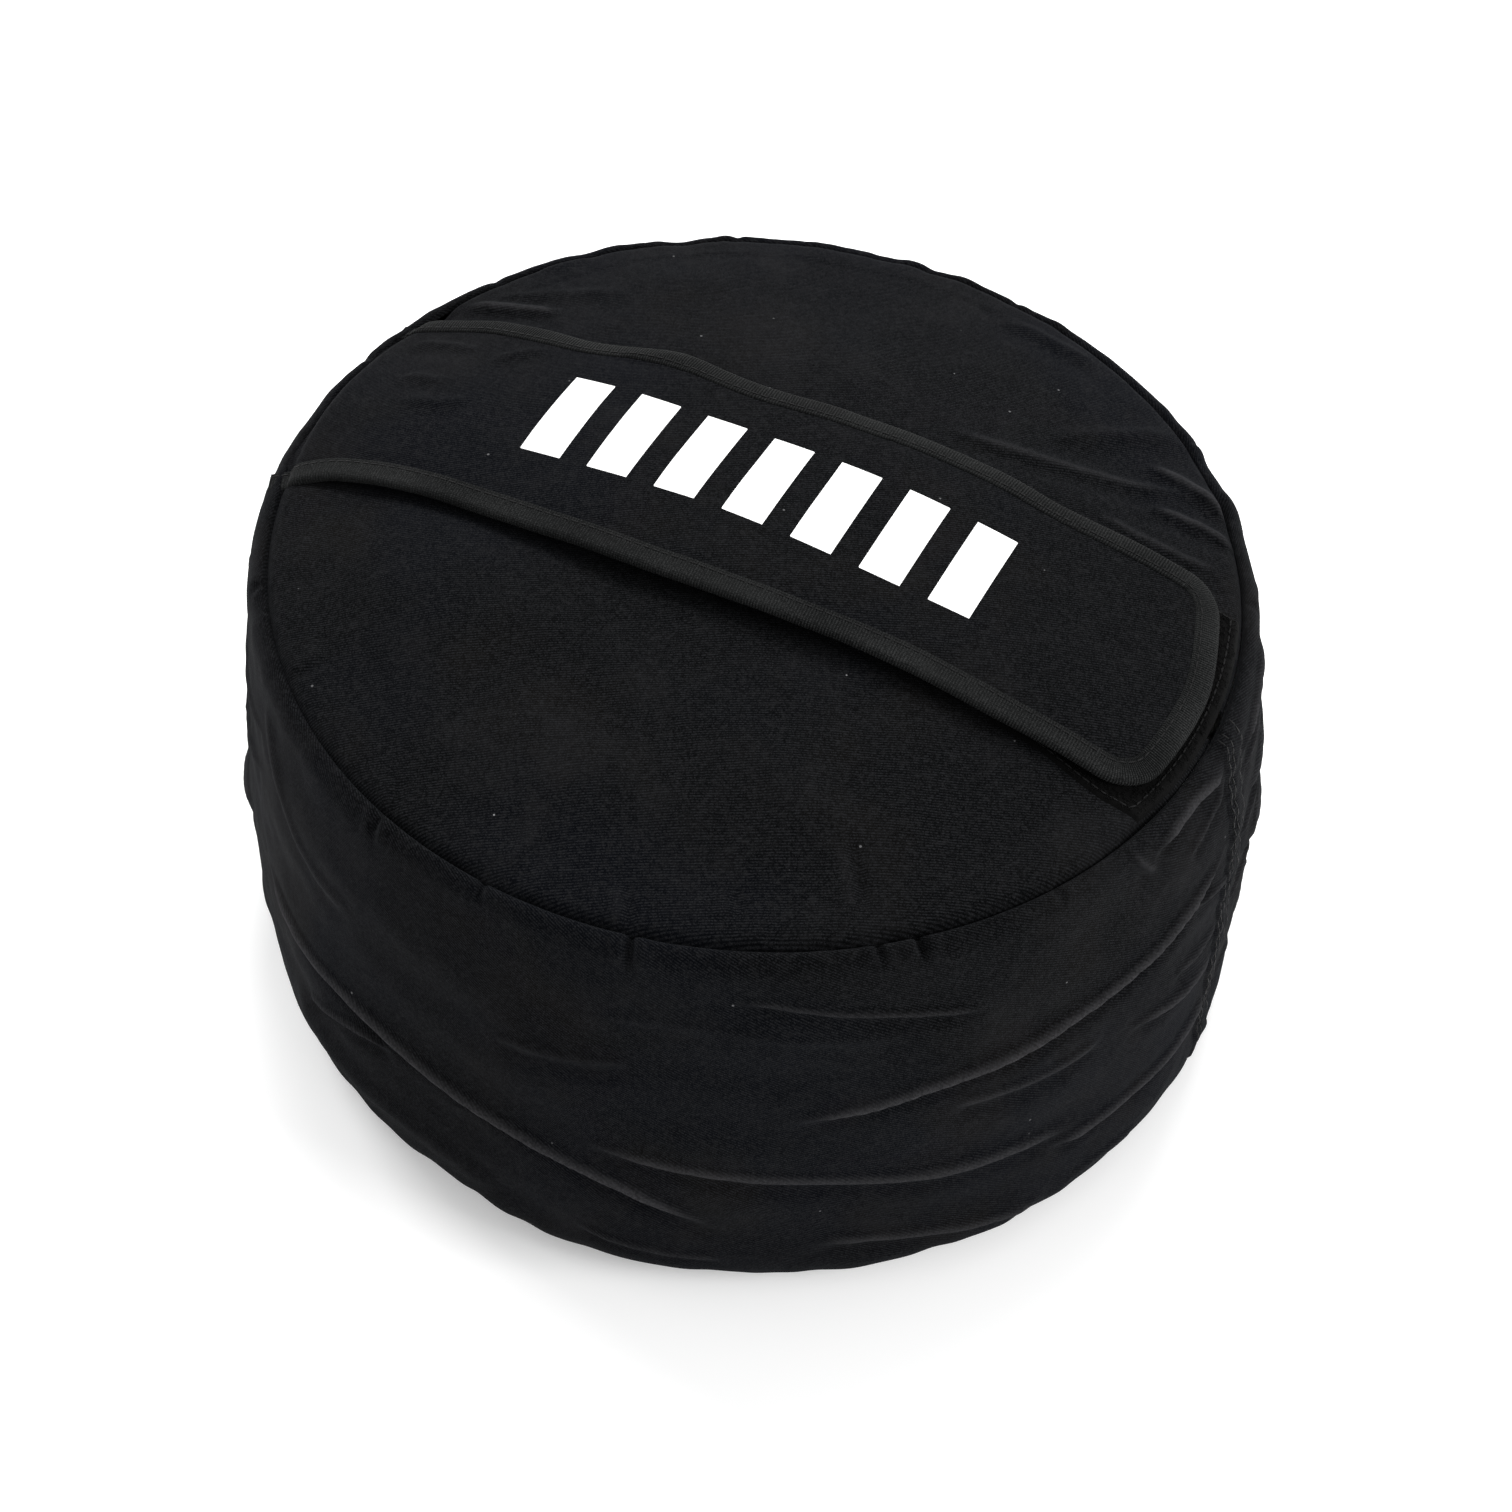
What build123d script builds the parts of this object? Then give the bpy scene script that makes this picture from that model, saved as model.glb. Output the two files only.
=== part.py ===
"""Round weight sandbag: a drum of black canvas with a zipped top, a storm flap and a tied liner full of sand.

Millimetres, +Z up. The origin is on the floor, under the middle of the drum. +X runs along the flap, from the
edge that is sewn into the rim seam to the free end that hook and loop holds down.
"""

from build123d import *
from math import asin, degrees, hypot
import os

# Driving dimensions of the drum.
RIM_RADIUS = 150.0        # where the top panel is sewn to the side wall
RIM_HEIGHT = 158.0
CROWN = 20.0              # how far the filled top rises above the rim
BELLY_RADIUS = 162.0      # the widest part of the side wall
BELLY_HEIGHT = 58.0
BELLY_CURVE = 660.0       # radius of the side wall's long upright arc
SHOULDER = 10.0           # radius of the wall where it rolls into the rim
SKIRT = 16.0              # radius of the wall where it rolls under
SKIRT_END = (153.4, 4.6)  # the wall's lower edge: radius, height
FLAT_RADIUS = 145.0       # the part of the base that lies flat

# The base panel's turned-up edge, face and back: where it ends, and a point half way up, as radius and height.
BASE_EDGE = ((152.5, 3.7), (151.7, 4.6))
BASE_TURN = ((149.3, 1.1), (148.7, 2.2))

# Cloth, tape and thread.
CANVAS = 1.1
LINER = 0.6
PLY = 1.0                 # each of the flap's two plies
TAPE = 0.8                # folded binding tape, each leg
TAPE_WIDTH = 8.0
SEAM_TAPE = 10.0          # the tape round the raw edges of the rim and base seams, inside
SEAM_TAPE_THICK = 3.2
RIM_TAPE_AT = (147.6, 151.5)
BASE_TAPE_AT = (150.2, 8.0)
THREAD = 0.5
THREAD_RISE = 0.3
ALLOWANCE = 0.4           # the flap's edge that goes down into the rim seam

# Storm flap, seen from above.
FLAP_NEAR = -38.5
FLAP_FAR = 49.5
FLAP_END = 145.5          # its free end is cut parallel to the rim
FLAP_CORNER = 16.0
FLAP_SPLAY = 6.0          # both long edges swing towards -Y over the last stretch before the rim
FLAP_SPLAY_X = -118.0
FLAP_RISE = 7.0           # air between flap and top panel at the middle
FLAP_SEAT = 2.9           # and at FLAP_SEAT_RADIUS
FLAP_SEAT_RADIUS = 140.0
FOLD_X = -140.0           # the line the flap folds back on, beside the rim seam
PEEL_X = 88.0             # the line the hooked end peels on
FOLD_GAP = 0.4

# Print on the flap: a row of plain stripes.
PRINT = 0.12
PRINT_BOX = (-76.0, 74.0, -12.5, 24.5)
STRIPES = 7
STRIPE_SHARE = 0.62       # of the pitch that is printed
STRIPE_LEAN = 0.5         # how far a stripe's far end stands towards +X

# Hook and loop.
LOOP = 1.1
LOOP_BOX = (92.0, 147.0, -42.5, 46.5)
HOOK = 1.0
HOOK_BOX = (94.0, 135.0, -27.5, 38.5)

# Zip, under the middle of the flap.
ZIP_Y = (FLAP_NEAR + FLAP_FAR) / 2
SLOT = 5.6                # half the opening between the two halves of the top
ZIP_TAPE = 0.9
ZIP_TAPE_REACH = 16.0
TEETH_IN, TEETH_OUT = 0.75, 3.4
TEETH_ENDS = (-98.0, 72.0)
SLIDER_X = 62.0           # the slider when the zip is shut
SLIDER_OPEN_X = -72.0
SLIDER_LENGTH = 14.0
SLIDER_HALF = 5.0
TAB_REACH = 17.0
TAB_HALF = 3.2
TAB_LOW = 1.5
PIN = 0.45
PIN_HOLE = 0.55
PIN_RISE = 3.35           # the tab's pin above the top panel
PIN_LENGTH = 5.0
TAB_THICK = 0.9
TAB_CORNER = 1.2
EAR_IN = 1.9              # the gap between the tab's ears, halved
KNEE = 2.0                # length of the ears' upright part

# Parts of the slider: heights above the top panel, lowest and highest.
UPPER_PLATE = (1.4, 2.6)
LOWER_PLATE = (-3.7, -2.5)
FLANGE = (-0.7, 1.5)
POST = (-2.6, 1.5)
ARCH = (2.5, 4.3)
FLANGE_IN = 3.8           # from the middle of the zip to the flanges
POST_HALF = 0.45
POST_BACK, POST_FRONT = 5.0, 1.0    # from the slider's front end
ARCH_HALF = 1.6
ARCH_BACK, ARCH_FRONT = 4.0, 3.0    # from the slider's back end and from its front end

# Side wall's lapped seam, in degrees about +Z from +X.
LAP = (-1.0, 4.0)
LAP_ROWS = (-0.3, 3.3)

# Top of the sand, below the zip.
FILL_DROP = 5.5
DISH_FLOOR = 158.0
DISH_RADIUS = 30.0
FILL_BASE = 1.8
FILL_SIDE = [(131, FILL_BASE), (138.5, 12), (152, 22), (158.2, 58), (155.4, 122), (145, 144), (134, 148.5)]
FILL_DOME = (133.0, 92.0, 50.0)
NECK_RADIUS = 7.0
NECK_TOP = 168.6
TIE_HEIGHTS = (160.0, 163.2)
TIE_BAND = 1.3
TIE_HEAD = (4.4, 5.0, 3.2)          # length, width, and how far its middle stands out from the neck
TIE_TAIL = (8.0, 1.2, 9.0)

# Spheres that the top panel and the flap lie on; both are centred on the Z axis.
CROWN_SPHERE = (RIM_RADIUS**2 + CROWN**2) / (2 * CROWN)
CROWN_CENTRE = RIM_HEIGHT + CROWN - CROWN_SPHERE


def crown_height(radius, rise=0.0):
    """Height of the top panel's face, or of a sphere that much above it, at a distance from the Z axis."""
    return CROWN_CENTRE + ((CROWN_SPHERE + rise) ** 2 - radius**2) ** 0.5


FLAP_TOP = RIM_HEIGHT + CROWN + FLAP_RISE
FLAP_SAG = FLAP_TOP - crown_height(FLAP_SEAT_RADIUS) - FLAP_SEAT
FLAP_SPHERE = (FLAP_SEAT_RADIUS**2 + FLAP_SAG**2) / (2 * FLAP_SAG)
FLAP_CENTRE = FLAP_TOP - FLAP_SPHERE


def ball(radius, centre):
    """A ball on the Z axis whose poles lie along Y, away from the faces that are used."""
    return Pos(0, 0, centre) * Rot(90, 0, 0) * Sphere(radius)


def column(sketch):
    """A sketch made into a column through the top of the bag."""
    return extrude(Pos(0, 0, 100) * sketch, 120)


def on_sphere(solid, sphere, centre, low, high):
    """The layer of a column between two heights above a sphere."""
    return solid & (ball(sphere + high, centre) - ball(sphere + low, centre))


def on_crown(solid, low, high):
    return on_sphere(solid, CROWN_SPHERE, CROWN_CENTRE, low, high)


def on_flap(solid, low, high):
    return on_sphere(solid, FLAP_SPHERE, FLAP_CENTRE, low, high)


def slab(x_low, x_high, y_low, y_high):
    """A rectangle between those limits."""
    return Pos((x_low + x_high) / 2, (y_low + y_high) / 2) * Rectangle(x_high - x_low, y_high - y_low)


def disc(radius):
    return Circle(radius)


def ring_of(outer, inner):
    return Circle(outer) - Circle(inner)


# Side wall -----------------------------------------------------------------------------------------------------

BELLY_CENTRE = Vector(BELLY_RADIUS - BELLY_CURVE, BELLY_HEIGHT)


def tucked_centre(radius, through, side):
    """Centre of an arc that rolls off the belly's arc and ends at a point; side is +1 above the belly, -1 below."""
    end = Vector(*through)
    apart = end - BELLY_CENTRE
    far, near = BELLY_CURVE - radius, radius
    along = (far**2 - near**2 + apart.length**2) / (2 * apart.length)
    across = (far**2 - along**2) ** 0.5
    unit = apart.normalized()
    normal = Vector(unit.Y, -unit.X) * side
    return BELLY_CENTRE + unit * along + normal * across


SHOULDER_CENTRE = tucked_centre(SHOULDER, (RIM_RADIUS, RIM_HEIGHT), 1)
SKIRT_CENTRE = tucked_centre(SKIRT, SKIRT_END, -1)


def wall_line(out):
    """The side wall's upright line, that far outside its face, as three tangent arcs from rim to skirt."""
    arcs = []
    rim = (Vector(RIM_RADIUS, RIM_HEIGHT) - SHOULDER_CENTRE).normalized()
    above = (SHOULDER_CENTRE - BELLY_CENTRE).normalized()
    below = (SKIRT_CENTRE - BELLY_CENTRE).normalized()
    skirt = (Vector(*SKIRT_END) - SKIRT_CENTRE).normalized()
    for centre, radius, first, last in (
        (SHOULDER_CENTRE, SHOULDER, rim, above),
        (BELLY_CENTRE, BELLY_CURVE, above, below),
        (SKIRT_CENTRE, SKIRT, below, skirt),
    ):
        middle = (first + last).normalized()
        arcs.append([centre + way * (radius + out) for way in (first, middle, last)])
    return arcs


def wall_strip(inside, outside, first=0.0, last=360.0):
    """A layer of the side wall between two distances from its face, over a range of angles."""
    outer, inner = wall_line(outside), wall_line(inside)
    edges = [ThreePointArc(*points) for points in outer + inner]
    edges.append(Line(outer[0][0], inner[0][0]))
    edges.append(Line(outer[-1][-1], inner[-1][-1]))
    section = Plane.XZ * make_face(edges)
    strip = revolve(section, Axis.Z, revolution_arc=last - first)
    return Rot(0, 0, first) * strip


def side_wall():
    """One strip of canvas round the drum; its two ends lap over each other and are pulled in by the stitching."""
    first, last = LAP
    around = wall_strip(-CANVAS, 0, last, first + 360)
    lap = wall_strip(-2 * CANVAS, -THREAD_RISE, first, last)
    return around + lap


def side_seam_thread():
    half = degrees(THREAD / 2 / BELLY_RADIUS)
    rows = [wall_strip(-THREAD_RISE, 0, at - half, at + half) for at in LAP_ROWS]
    return Compound(children=rows)


# Bottom and the seams inside --------------------------------------------------------------------------------------


def bottom_panel():
    """A disc of canvas, flat on the floor and turned up to meet the side wall."""
    face_end, back_end = BASE_EDGE
    face_middle, back_middle = BASE_TURN
    back_start = (FLAT_RADIUS, CANVAS)
    edges = [
        Line((0, 0), (FLAT_RADIUS, 0)),
        ThreePointArc((FLAT_RADIUS, 0), face_middle, face_end),
        Line(face_end, back_end),
        ThreePointArc(back_end, back_middle, back_start),
        Line(back_start, (0, CANVAS)),
        Line((0, CANVAS), (0, 0)),
    ]
    return revolve(Plane.XZ * make_face(edges), Axis.Z)


def seam_binding(outer, height):
    """Tape folded over the raw edges of a rim seam, inside the bag."""
    tape = RectangleRounded(SEAM_TAPE, SEAM_TAPE_THICK, SEAM_TAPE_THICK / 2 - 0.1)
    section = Plane.XZ * Pos(outer - SEAM_TAPE / 2, height) * tape
    return revolve(section, Axis.Z)


# Top panel and zip ------------------------------------------------------------------------------------------------

PANEL_EDGE = RIM_RADIUS - 1.6
MIDDLE = 400.0            # wider than the bag, for cutting


def top_panel(side):
    """One half of the top. side is -1 for the front half and +1 for the back half."""
    start, end = sorted((ZIP_Y + side * SLOT, side * MIDDLE))
    half = disc(PANEL_EDGE) & slab(-MIDDLE, MIDDLE, start, end)
    return on_crown(column(half), -CANVAS, 0)


def zip_band(side, inner, outer, x_low, x_high):
    """A strip that runs along one side of the zip's middle line."""
    start, end = sorted((ZIP_Y + side * inner, ZIP_Y + side * outer))
    return slab(x_low, x_high, start, end)


def zip_tape(side):
    band = zip_band(side, TEETH_IN, ZIP_TAPE_REACH, -MIDDLE, MIDDLE) & disc(PANEL_EDGE - 2)
    top = -CANVAS - 0.1
    return on_crown(column(band), top - ZIP_TAPE, top)


def zip_teeth(side):
    band = zip_band(side, TEETH_IN, TEETH_OUT, *TEETH_ENDS)
    return on_crown(column(band), -CANVAS, CANVAS)


def zip_stops():
    """A crimp over both rows at the open end, and one on each row at the shut end."""
    low, high = TEETH_ENDS
    bar = column(slab(low - 4, low - 0.3, ZIP_Y - TEETH_OUT, ZIP_Y + TEETH_OUT))
    crimps = [on_crown(bar, -CANVAS, CANVAS + 0.4)]
    for side in (-1, 1):
        bar = column(zip_band(side, TEETH_IN, TEETH_OUT, high + 0.3, high + 4))
        crimps.append(on_crown(bar, -CANVAS, CANVAS + 0.4))
    return Compound(children=crimps)


def zip_slider():
    """Two plates and their flanges, joined by a post between the rows, with an arch for the tab's pin."""
    back, front = SLIDER_X - SLIDER_LENGTH / 2, SLIDER_X + SLIDER_LENGTH / 2
    body = slab(back, front, ZIP_Y - SLIDER_HALF, ZIP_Y + SLIDER_HALF)
    slider = on_crown(column(body), *UPPER_PLATE) + on_crown(column(body), *LOWER_PLATE)
    for side in (-1, 1):
        slider += on_crown(column(zip_band(side, FLANGE_IN, SLIDER_HALF, back, front)), *FLANGE)
    post = slab(front - POST_BACK, front - POST_FRONT, ZIP_Y - POST_HALF, ZIP_Y + POST_HALF)
    slider += on_crown(column(post), *POST)
    bridge = slab(back + ARCH_BACK, front - ARCH_FRONT, ZIP_Y - ARCH_HALF, ZIP_Y + ARCH_HALF)
    arch = on_crown(column(bridge), *ARCH)
    return slider + (arch - pin_cylinder(PIN_HOLE, 2 * PIN_LENGTH))


PIN_X = SLIDER_X - 0.6
PIN_Z = crown_height(hypot(PIN_X, ZIP_Y), PIN_RISE)


def pin_cylinder(radius, length):
    return Pos(PIN_X, ZIP_Y, PIN_Z) * Rot(90, 0, 0) * Cylinder(radius, length)


def zip_pull_tab():
    """A flat tab that lies on the teeth behind the slider, with two ears and a pin through the slider's arch."""
    eye, waist = PIN_X + 1.0, SLIDER_X - SLIDER_LENGTH / 2 - 1.0
    knee_back = waist - 3.0
    plate = fillet(slab(PIN_X - TAB_REACH, waist, ZIP_Y - TAB_HALF, ZIP_Y + TAB_HALF).vertices(), TAB_CORNER)
    tab = on_crown(column(plate), TAB_LOW, TAB_LOW + TAB_THICK)
    for side in (-1, 1):
        knee = column(zip_band(side, EAR_IN, TAB_HALF, knee_back, knee_back + KNEE))
        ear = column(zip_band(side, EAR_IN, TAB_HALF, knee_back, eye))
        tab += on_crown(knee, TAB_LOW, PIN_RISE)
        tab += on_crown(ear, PIN_RISE - TAB_THICK / 2, PIN_RISE + TAB_THICK / 2)
    return tab + pin_cylinder(PIN, PIN_LENGTH)


def zip_thread():
    """A row of topstitching along each folded edge beside the zip."""
    rows = []
    for side in (-1, 1):
        band = zip_band(side, SLOT + 2, SLOT + 2 + THREAD, -MIDDLE, LOOP_BOX[0] - 0.5) & disc(PANEL_EDGE - 3)
        rows.append(on_crown(column(band), 0, THREAD_RISE))
    return Compound(children=rows)


def loop_outline(inset):
    x_low, x_high, y_low, y_high = LOOP_BOX
    patch = slab(x_low + inset, MIDDLE, y_low + inset, y_high - inset)
    return patch & disc(x_high - inset)


def loop_patch():
    return on_crown(column(loop_outline(0)), 0, LOOP)


def loop_thread():
    row = loop_outline(2) - loop_outline(2 + THREAD)
    return on_crown(column(row), LOOP, LOOP + 0.25)


# Storm flap -------------------------------------------------------------------------------------------------------


def flap_outline(inset):
    """The flap seen from above, cut smaller all round by inset."""
    near, far = FLAP_NEAR + inset, FLAP_FAR - inset
    left = -RIM_RADIUS
    points = [
        (left, near - FLAP_SPLAY),
        (FLAP_SPLAY_X, near),
        (RIM_RADIUS, near),
        (RIM_RADIUS, far),
        (FLAP_SPLAY_X, far),
        (left, far - FLAP_SPLAY),
    ]
    end = disc(FLAP_END - inset) + slab(-MIDDLE, 0, -MIDDLE, MIDDLE)
    shape = make_face(Polyline(*points, close=True)) & end
    corners = shape.vertices().sort_by(Axis.X)[-2:]
    return fillet(corners, FLAP_CORNER - inset)


def main_part(solid):
    """What of a column or layer folds back on FOLD_X and ends at PEEL_X."""
    return solid & column(slab(FOLD_X, PEEL_X - FOLD_GAP, -MIDDLE, MIDDLE))


def end_part(solid):
    """What of it is past PEEL_X."""
    return solid & column(slab(PEEL_X, MIDDLE, -MIDDLE, MIDDLE))


def flap_ply(low, high):
    return on_flap(column(flap_outline(TAPE)), low, high)


def flap_binding():
    """Tape folded over the flap's edge: an upper leg, a lower leg and the fold between them."""
    whole = column(flap_outline(0))
    legs = whole - column(flap_outline(TAPE_WIDTH))
    fold = whole - column(flap_outline(TAPE))
    body = 2 * PLY
    return on_flap(legs, body, body + TAPE) + on_flap(legs, -TAPE, 0) + on_flap(fold, -TAPE, body + TAPE)


def flap_print():
    """Plain stripes printed on the flap's face."""
    x_low, x_high, y_low, y_high = PRINT_BOX
    pitch = (x_high - x_low - STRIPE_LEAN) / (STRIPES - 1 + STRIPE_SHARE)
    width = pitch * STRIPE_SHARE
    stripes = []
    for number in range(STRIPES):
        left = x_low + number * pitch
        right = left + width
        corners = [(left, y_low), (right, y_low), (right + STRIPE_LEAN, y_high), (left + STRIPE_LEAN, y_high)]
        stripe = make_face(Polyline(*corners, close=True))
        stripes.append(on_flap(column(stripe), 2 * PLY, 2 * PLY + PRINT))
    return Compound(children=stripes)


def flap_thread():
    inset = TAPE_WIDTH - 1.5
    row = column(flap_outline(inset)) - column(flap_outline(inset + THREAD))
    high = 2 * PLY + TAPE
    return on_flap(row, high, high + THREAD_RISE)


def flap_root():
    """The flap's sewn edge: a strip that stays put, turned down between top panel and side wall."""
    strip = flap_outline(TAPE) & slab(-MIDDLE, FOLD_X - FOLD_GAP, -MIDDLE, MIDDLE)
    tab = on_flap(column(strip & disc(PANEL_EDGE + 0.5)), 0, 2 * PLY)
    turned = strip & ring_of(PANEL_EDGE + 0.5, PANEL_EDGE + 0.5 - ALLOWANCE)
    return tab + extrude(Pos(0, 0, RIM_HEIGHT - 7) * turned, 10.5)


def hook_patch():
    x_low, x_high, y_low, y_high = HOOK_BOX
    patch = slab(x_low, MIDDLE, y_low, y_high) & disc(x_high)
    return on_flap(column(patch), -HOOK, 0)


# Liner and sand ---------------------------------------------------------------------------------------------------


def fill_outline(inset):
    """Both halves of the liner's upright section, inset all round."""
    dome = [(radius, crown_height(radius, -FILL_DROP)) for radius in FILL_DOME]
    side = [(0, FILL_BASE)] + FILL_SIDE
    dish_edge = (DISH_RADIUS, DISH_FLOOR)
    edges = [Line(a, b) for a, b in zip(side, side[1:])]
    edges += [
        Line(side[-1], dome[0]),
        ThreePointArc(*dome),
        Line(dome[-1], dish_edge),
        Line(dish_edge, (0, DISH_FLOOR)),
        Line((0, DISH_FLOOR), (0, FILL_BASE)),
    ]
    half = make_face(edges)
    whole = half + mirror(half, Plane.YZ)
    return offset(whole, -inset, kind=Kind.INTERSECTION) if inset else whole


def fill_solid(inset):
    right = fill_outline(inset) & (Pos(MIDDLE / 2, MIDDLE / 2) * Rectangle(MIDDLE, MIDDLE))
    return revolve(Plane.XZ * right, Axis.Z)


def neck():
    """The liner's gathered neck, narrow where it is tied."""
    low, waist_low, waist_high = DISH_FLOOR - LINER / 2, TIE_HEIGHTS[0] - 0.6, TIE_HEIGHTS[1] + 0.6
    outline = [
        (0, low),
        (NECK_RADIUS + 3, low),
        (NECK_RADIUS, waist_low),
        (NECK_RADIUS, waist_high),
        (NECK_RADIUS + 5, NECK_TOP),
        (0, NECK_TOP),
    ]
    return revolve(Plane.XZ * make_face(Polyline(*outline, close=True)), Axis.Z)


def liner_bag():
    return fill_solid(0) - fill_solid(LINER) + neck()


def liner_tie():
    """A cable tie round the neck: band, head and cut tail."""
    low, high = TIE_HEIGHTS
    middle, height = (low + high) / 2, high - low
    tie = Pos(0, 0, low) * extrude(ring_of(NECK_RADIUS + TIE_BAND, NECK_RADIUS), height)
    for (length, width, out), trimmed in ((TIE_HEAD, 0.0), (TIE_TAIL, 0.4)):
        tie += Pos(NECK_RADIUS + out, 0, middle) * Box(length, width, height - trimmed)
    return tie


def build():
    """Every piece by its node name."""
    binding, thread = flap_binding(), flap_thread()
    upper, lower = flap_ply(PLY, 2 * PLY), flap_ply(0, PLY)
    return {
        "side_wall": side_wall(),
        "side_seam_thread": side_seam_thread(),
        "bottom_panel": bottom_panel(),
        "top_panel_front": top_panel(-1),
        "top_panel_back": top_panel(1),
        "rim_seam_binding": seam_binding(*RIM_TAPE_AT),
        "base_seam_binding": seam_binding(*BASE_TAPE_AT),
        "zip_tape_front": zip_tape(-1),
        "zip_tape_back": zip_tape(1),
        "zip_teeth_front": zip_teeth(-1),
        "zip_teeth_back": zip_teeth(1),
        "zip_stops": zip_stops(),
        "zip_thread": zip_thread(),
        "zip_slider": zip_slider(),
        "zip_pull_tab": zip_pull_tab(),
        "loop_patch": loop_patch(),
        "loop_thread": loop_thread(),
        "flap_root": flap_root(),
        "flap_face": main_part(upper),
        "flap_lining": main_part(lower),
        "flap_binding": main_part(binding),
        "flap_thread": main_part(thread),
        "flap_print": flap_print(),
        "flap_end_face": end_part(upper),
        "flap_end_lining": end_part(lower),
        "flap_end_binding": end_part(binding),
        "flap_end_thread": end_part(thread),
        "hook_patch": hook_patch(),
        "liner_bag": liner_bag(),
        "liner_tie": liner_tie(),
        "sand_fill": fill_solid(LINER),
    }


def report():
    """What the joints and the record need."""
    fold_z = FLAP_CENTRE + ((FLAP_SPHERE + 2 * PLY + TAPE) ** 2 - FOLD_X**2) ** 0.5
    peel_z = FLAP_CENTRE + ((FLAP_SPHERE + 2 * PLY + TAPE) ** 2 - PEEL_X**2) ** 0.5
    travel = degrees(asin(SLIDER_X / CROWN_SPHERE) - asin(SLIDER_OPEN_X / CROWN_SPHERE))
    print("fold axis", FOLD_X, round(fold_z, 3))
    print("peel axis", PEEL_X, round(peel_z, 3))
    print("slider turns about", round(CROWN_CENTRE, 3), "by", round(travel, 2))
    print("tab pin", PIN_X, ZIP_Y, round(PIN_Z, 3))


os.makedirs("parts", exist_ok=True)
for name, shape in build().items():
    export_step(shape, f"parts/{name}.step")
report()
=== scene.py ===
"""A round weight sandbag in black canvas: detailed cloth, tape, stitching and zip around the CAD model.

Shapes are worked out in millimetres in the row's frame, and Mesher turns them into metres. +X runs along the
storm flap, from its sewn edge to its free end, and +Z is up.
"""
import bpy
import math
import numpy as np
from mathutils import Matrix, Vector


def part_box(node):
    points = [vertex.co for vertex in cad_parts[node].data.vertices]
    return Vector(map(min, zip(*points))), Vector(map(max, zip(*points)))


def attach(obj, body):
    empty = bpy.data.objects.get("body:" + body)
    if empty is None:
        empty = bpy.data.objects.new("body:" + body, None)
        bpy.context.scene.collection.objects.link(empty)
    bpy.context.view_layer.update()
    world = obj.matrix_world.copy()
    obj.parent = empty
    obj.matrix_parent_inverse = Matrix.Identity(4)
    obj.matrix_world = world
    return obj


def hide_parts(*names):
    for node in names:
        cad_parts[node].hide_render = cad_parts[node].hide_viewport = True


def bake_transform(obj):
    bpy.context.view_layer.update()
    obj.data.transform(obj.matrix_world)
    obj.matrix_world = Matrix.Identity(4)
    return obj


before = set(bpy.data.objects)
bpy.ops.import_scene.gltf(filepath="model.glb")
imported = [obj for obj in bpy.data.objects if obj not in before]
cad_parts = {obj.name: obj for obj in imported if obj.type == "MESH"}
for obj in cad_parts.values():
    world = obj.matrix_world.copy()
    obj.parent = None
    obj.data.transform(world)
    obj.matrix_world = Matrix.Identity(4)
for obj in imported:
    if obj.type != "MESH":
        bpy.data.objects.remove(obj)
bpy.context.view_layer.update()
MM = 0.001


def node_box(name):
    """A CAD node's lowest and highest corners, in millimetres."""
    low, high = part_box(name)
    return np.array(low) / MM, np.array(high) / MM


# The drum, as the CAD model has it.
BELLY_RADIUS = node_box("side_wall")[1][0]
RIM_RADIUS = 150.0
RIM_HEIGHT = node_box("side_wall")[1][2]
CROWN = 20.0
BELLY_HEIGHT = 58.0
BELLY_CURVE = 660.0
SHOULDER = 10.0
SKIRT = 16.0
SKIRT_END = (153.4, 4.6)
FLAT_RADIUS = 145.0
BASE_END = (152.5, 3.7)
BASE_SEAM = (152.0, 5.6)
LEAN = (7.0, -0.8)         # the sand has slumped, so the base stands this far to one side of the rim
SEAM_RADIUS = 149.3       # the bottom of the groove between the top and the side
SEAM_DEPTH = 3.2
LAP = (-1.0, 4.0)         # the side wall's lapped ends, in degrees
LAP_ROWS = (-0.3, 0.8, 3.3)

# The sand and its liner: half of the outline up the side, and the dish under the tied neck.
FILL_SIDE = [(131, 1.8), (138.5, 12), (152, 22), (158.2, 58), (155.4, 122), (145, 144), (134, 148.5)]
FILL_DROP = 5.5
DISH = (30.0, 158.0)
LINER = 0.6

CROWN_SPHERE = (RIM_RADIUS**2 + CROWN**2) / (2 * CROWN)
CROWN_CENTRE = RIM_HEIGHT + CROWN - CROWN_SPHERE

# The flap.
PLY = 1.0
TAPE = 0.8
TAPE_WIDTH = 8.0
RIB = 0.9                 # pitch of the binding's ribs
FLAP_NEAR, FLAP_FAR = -38.5, 49.5
FLAP_MIDDLE = (FLAP_NEAR + FLAP_FAR) / 2
FLAP_END = 145.5
FLAP_CORNER = 16.0
ROOT_X = -149.0
FLAP_TOP = RIM_HEIGHT + CROWN + 7.0
FLAP_SEAT_RADIUS = 140.0
FLAP_SEAT = 2.9
SPLIT_X = 84.0            # where the flap's two pieces of cloth meet

STRIPES = 7
STRIPE_SHARE = 0.62       # a stripe's part of the pitch
STRIPE_LEAN = 0.5

ZIP_Y = FLAP_MIDDLE
SLOT = 5.6
LOOP_LOW, LOOP_HIGH = node_box("loop_patch")
HOOK_LOW, HOOK_HIGH = node_box("hook_patch")
LOOP_END = 148.3          # the patch's outer edge is caught in the rim seam
LOOP_COUNT = 4600         # loops of yarn on the patch, before those past its end are left out
PAD_EDGE = 0.6            # the closure's pads thin out this close to their edges


# Shape helpers -----------------------------------------------


def smooth(t):
    t = np.clip(t, 0.0, 1.0)
    return t * t * (3 - 2 * t)


def hill(distance, width):
    return np.exp(-((distance / width) ** 2))


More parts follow.
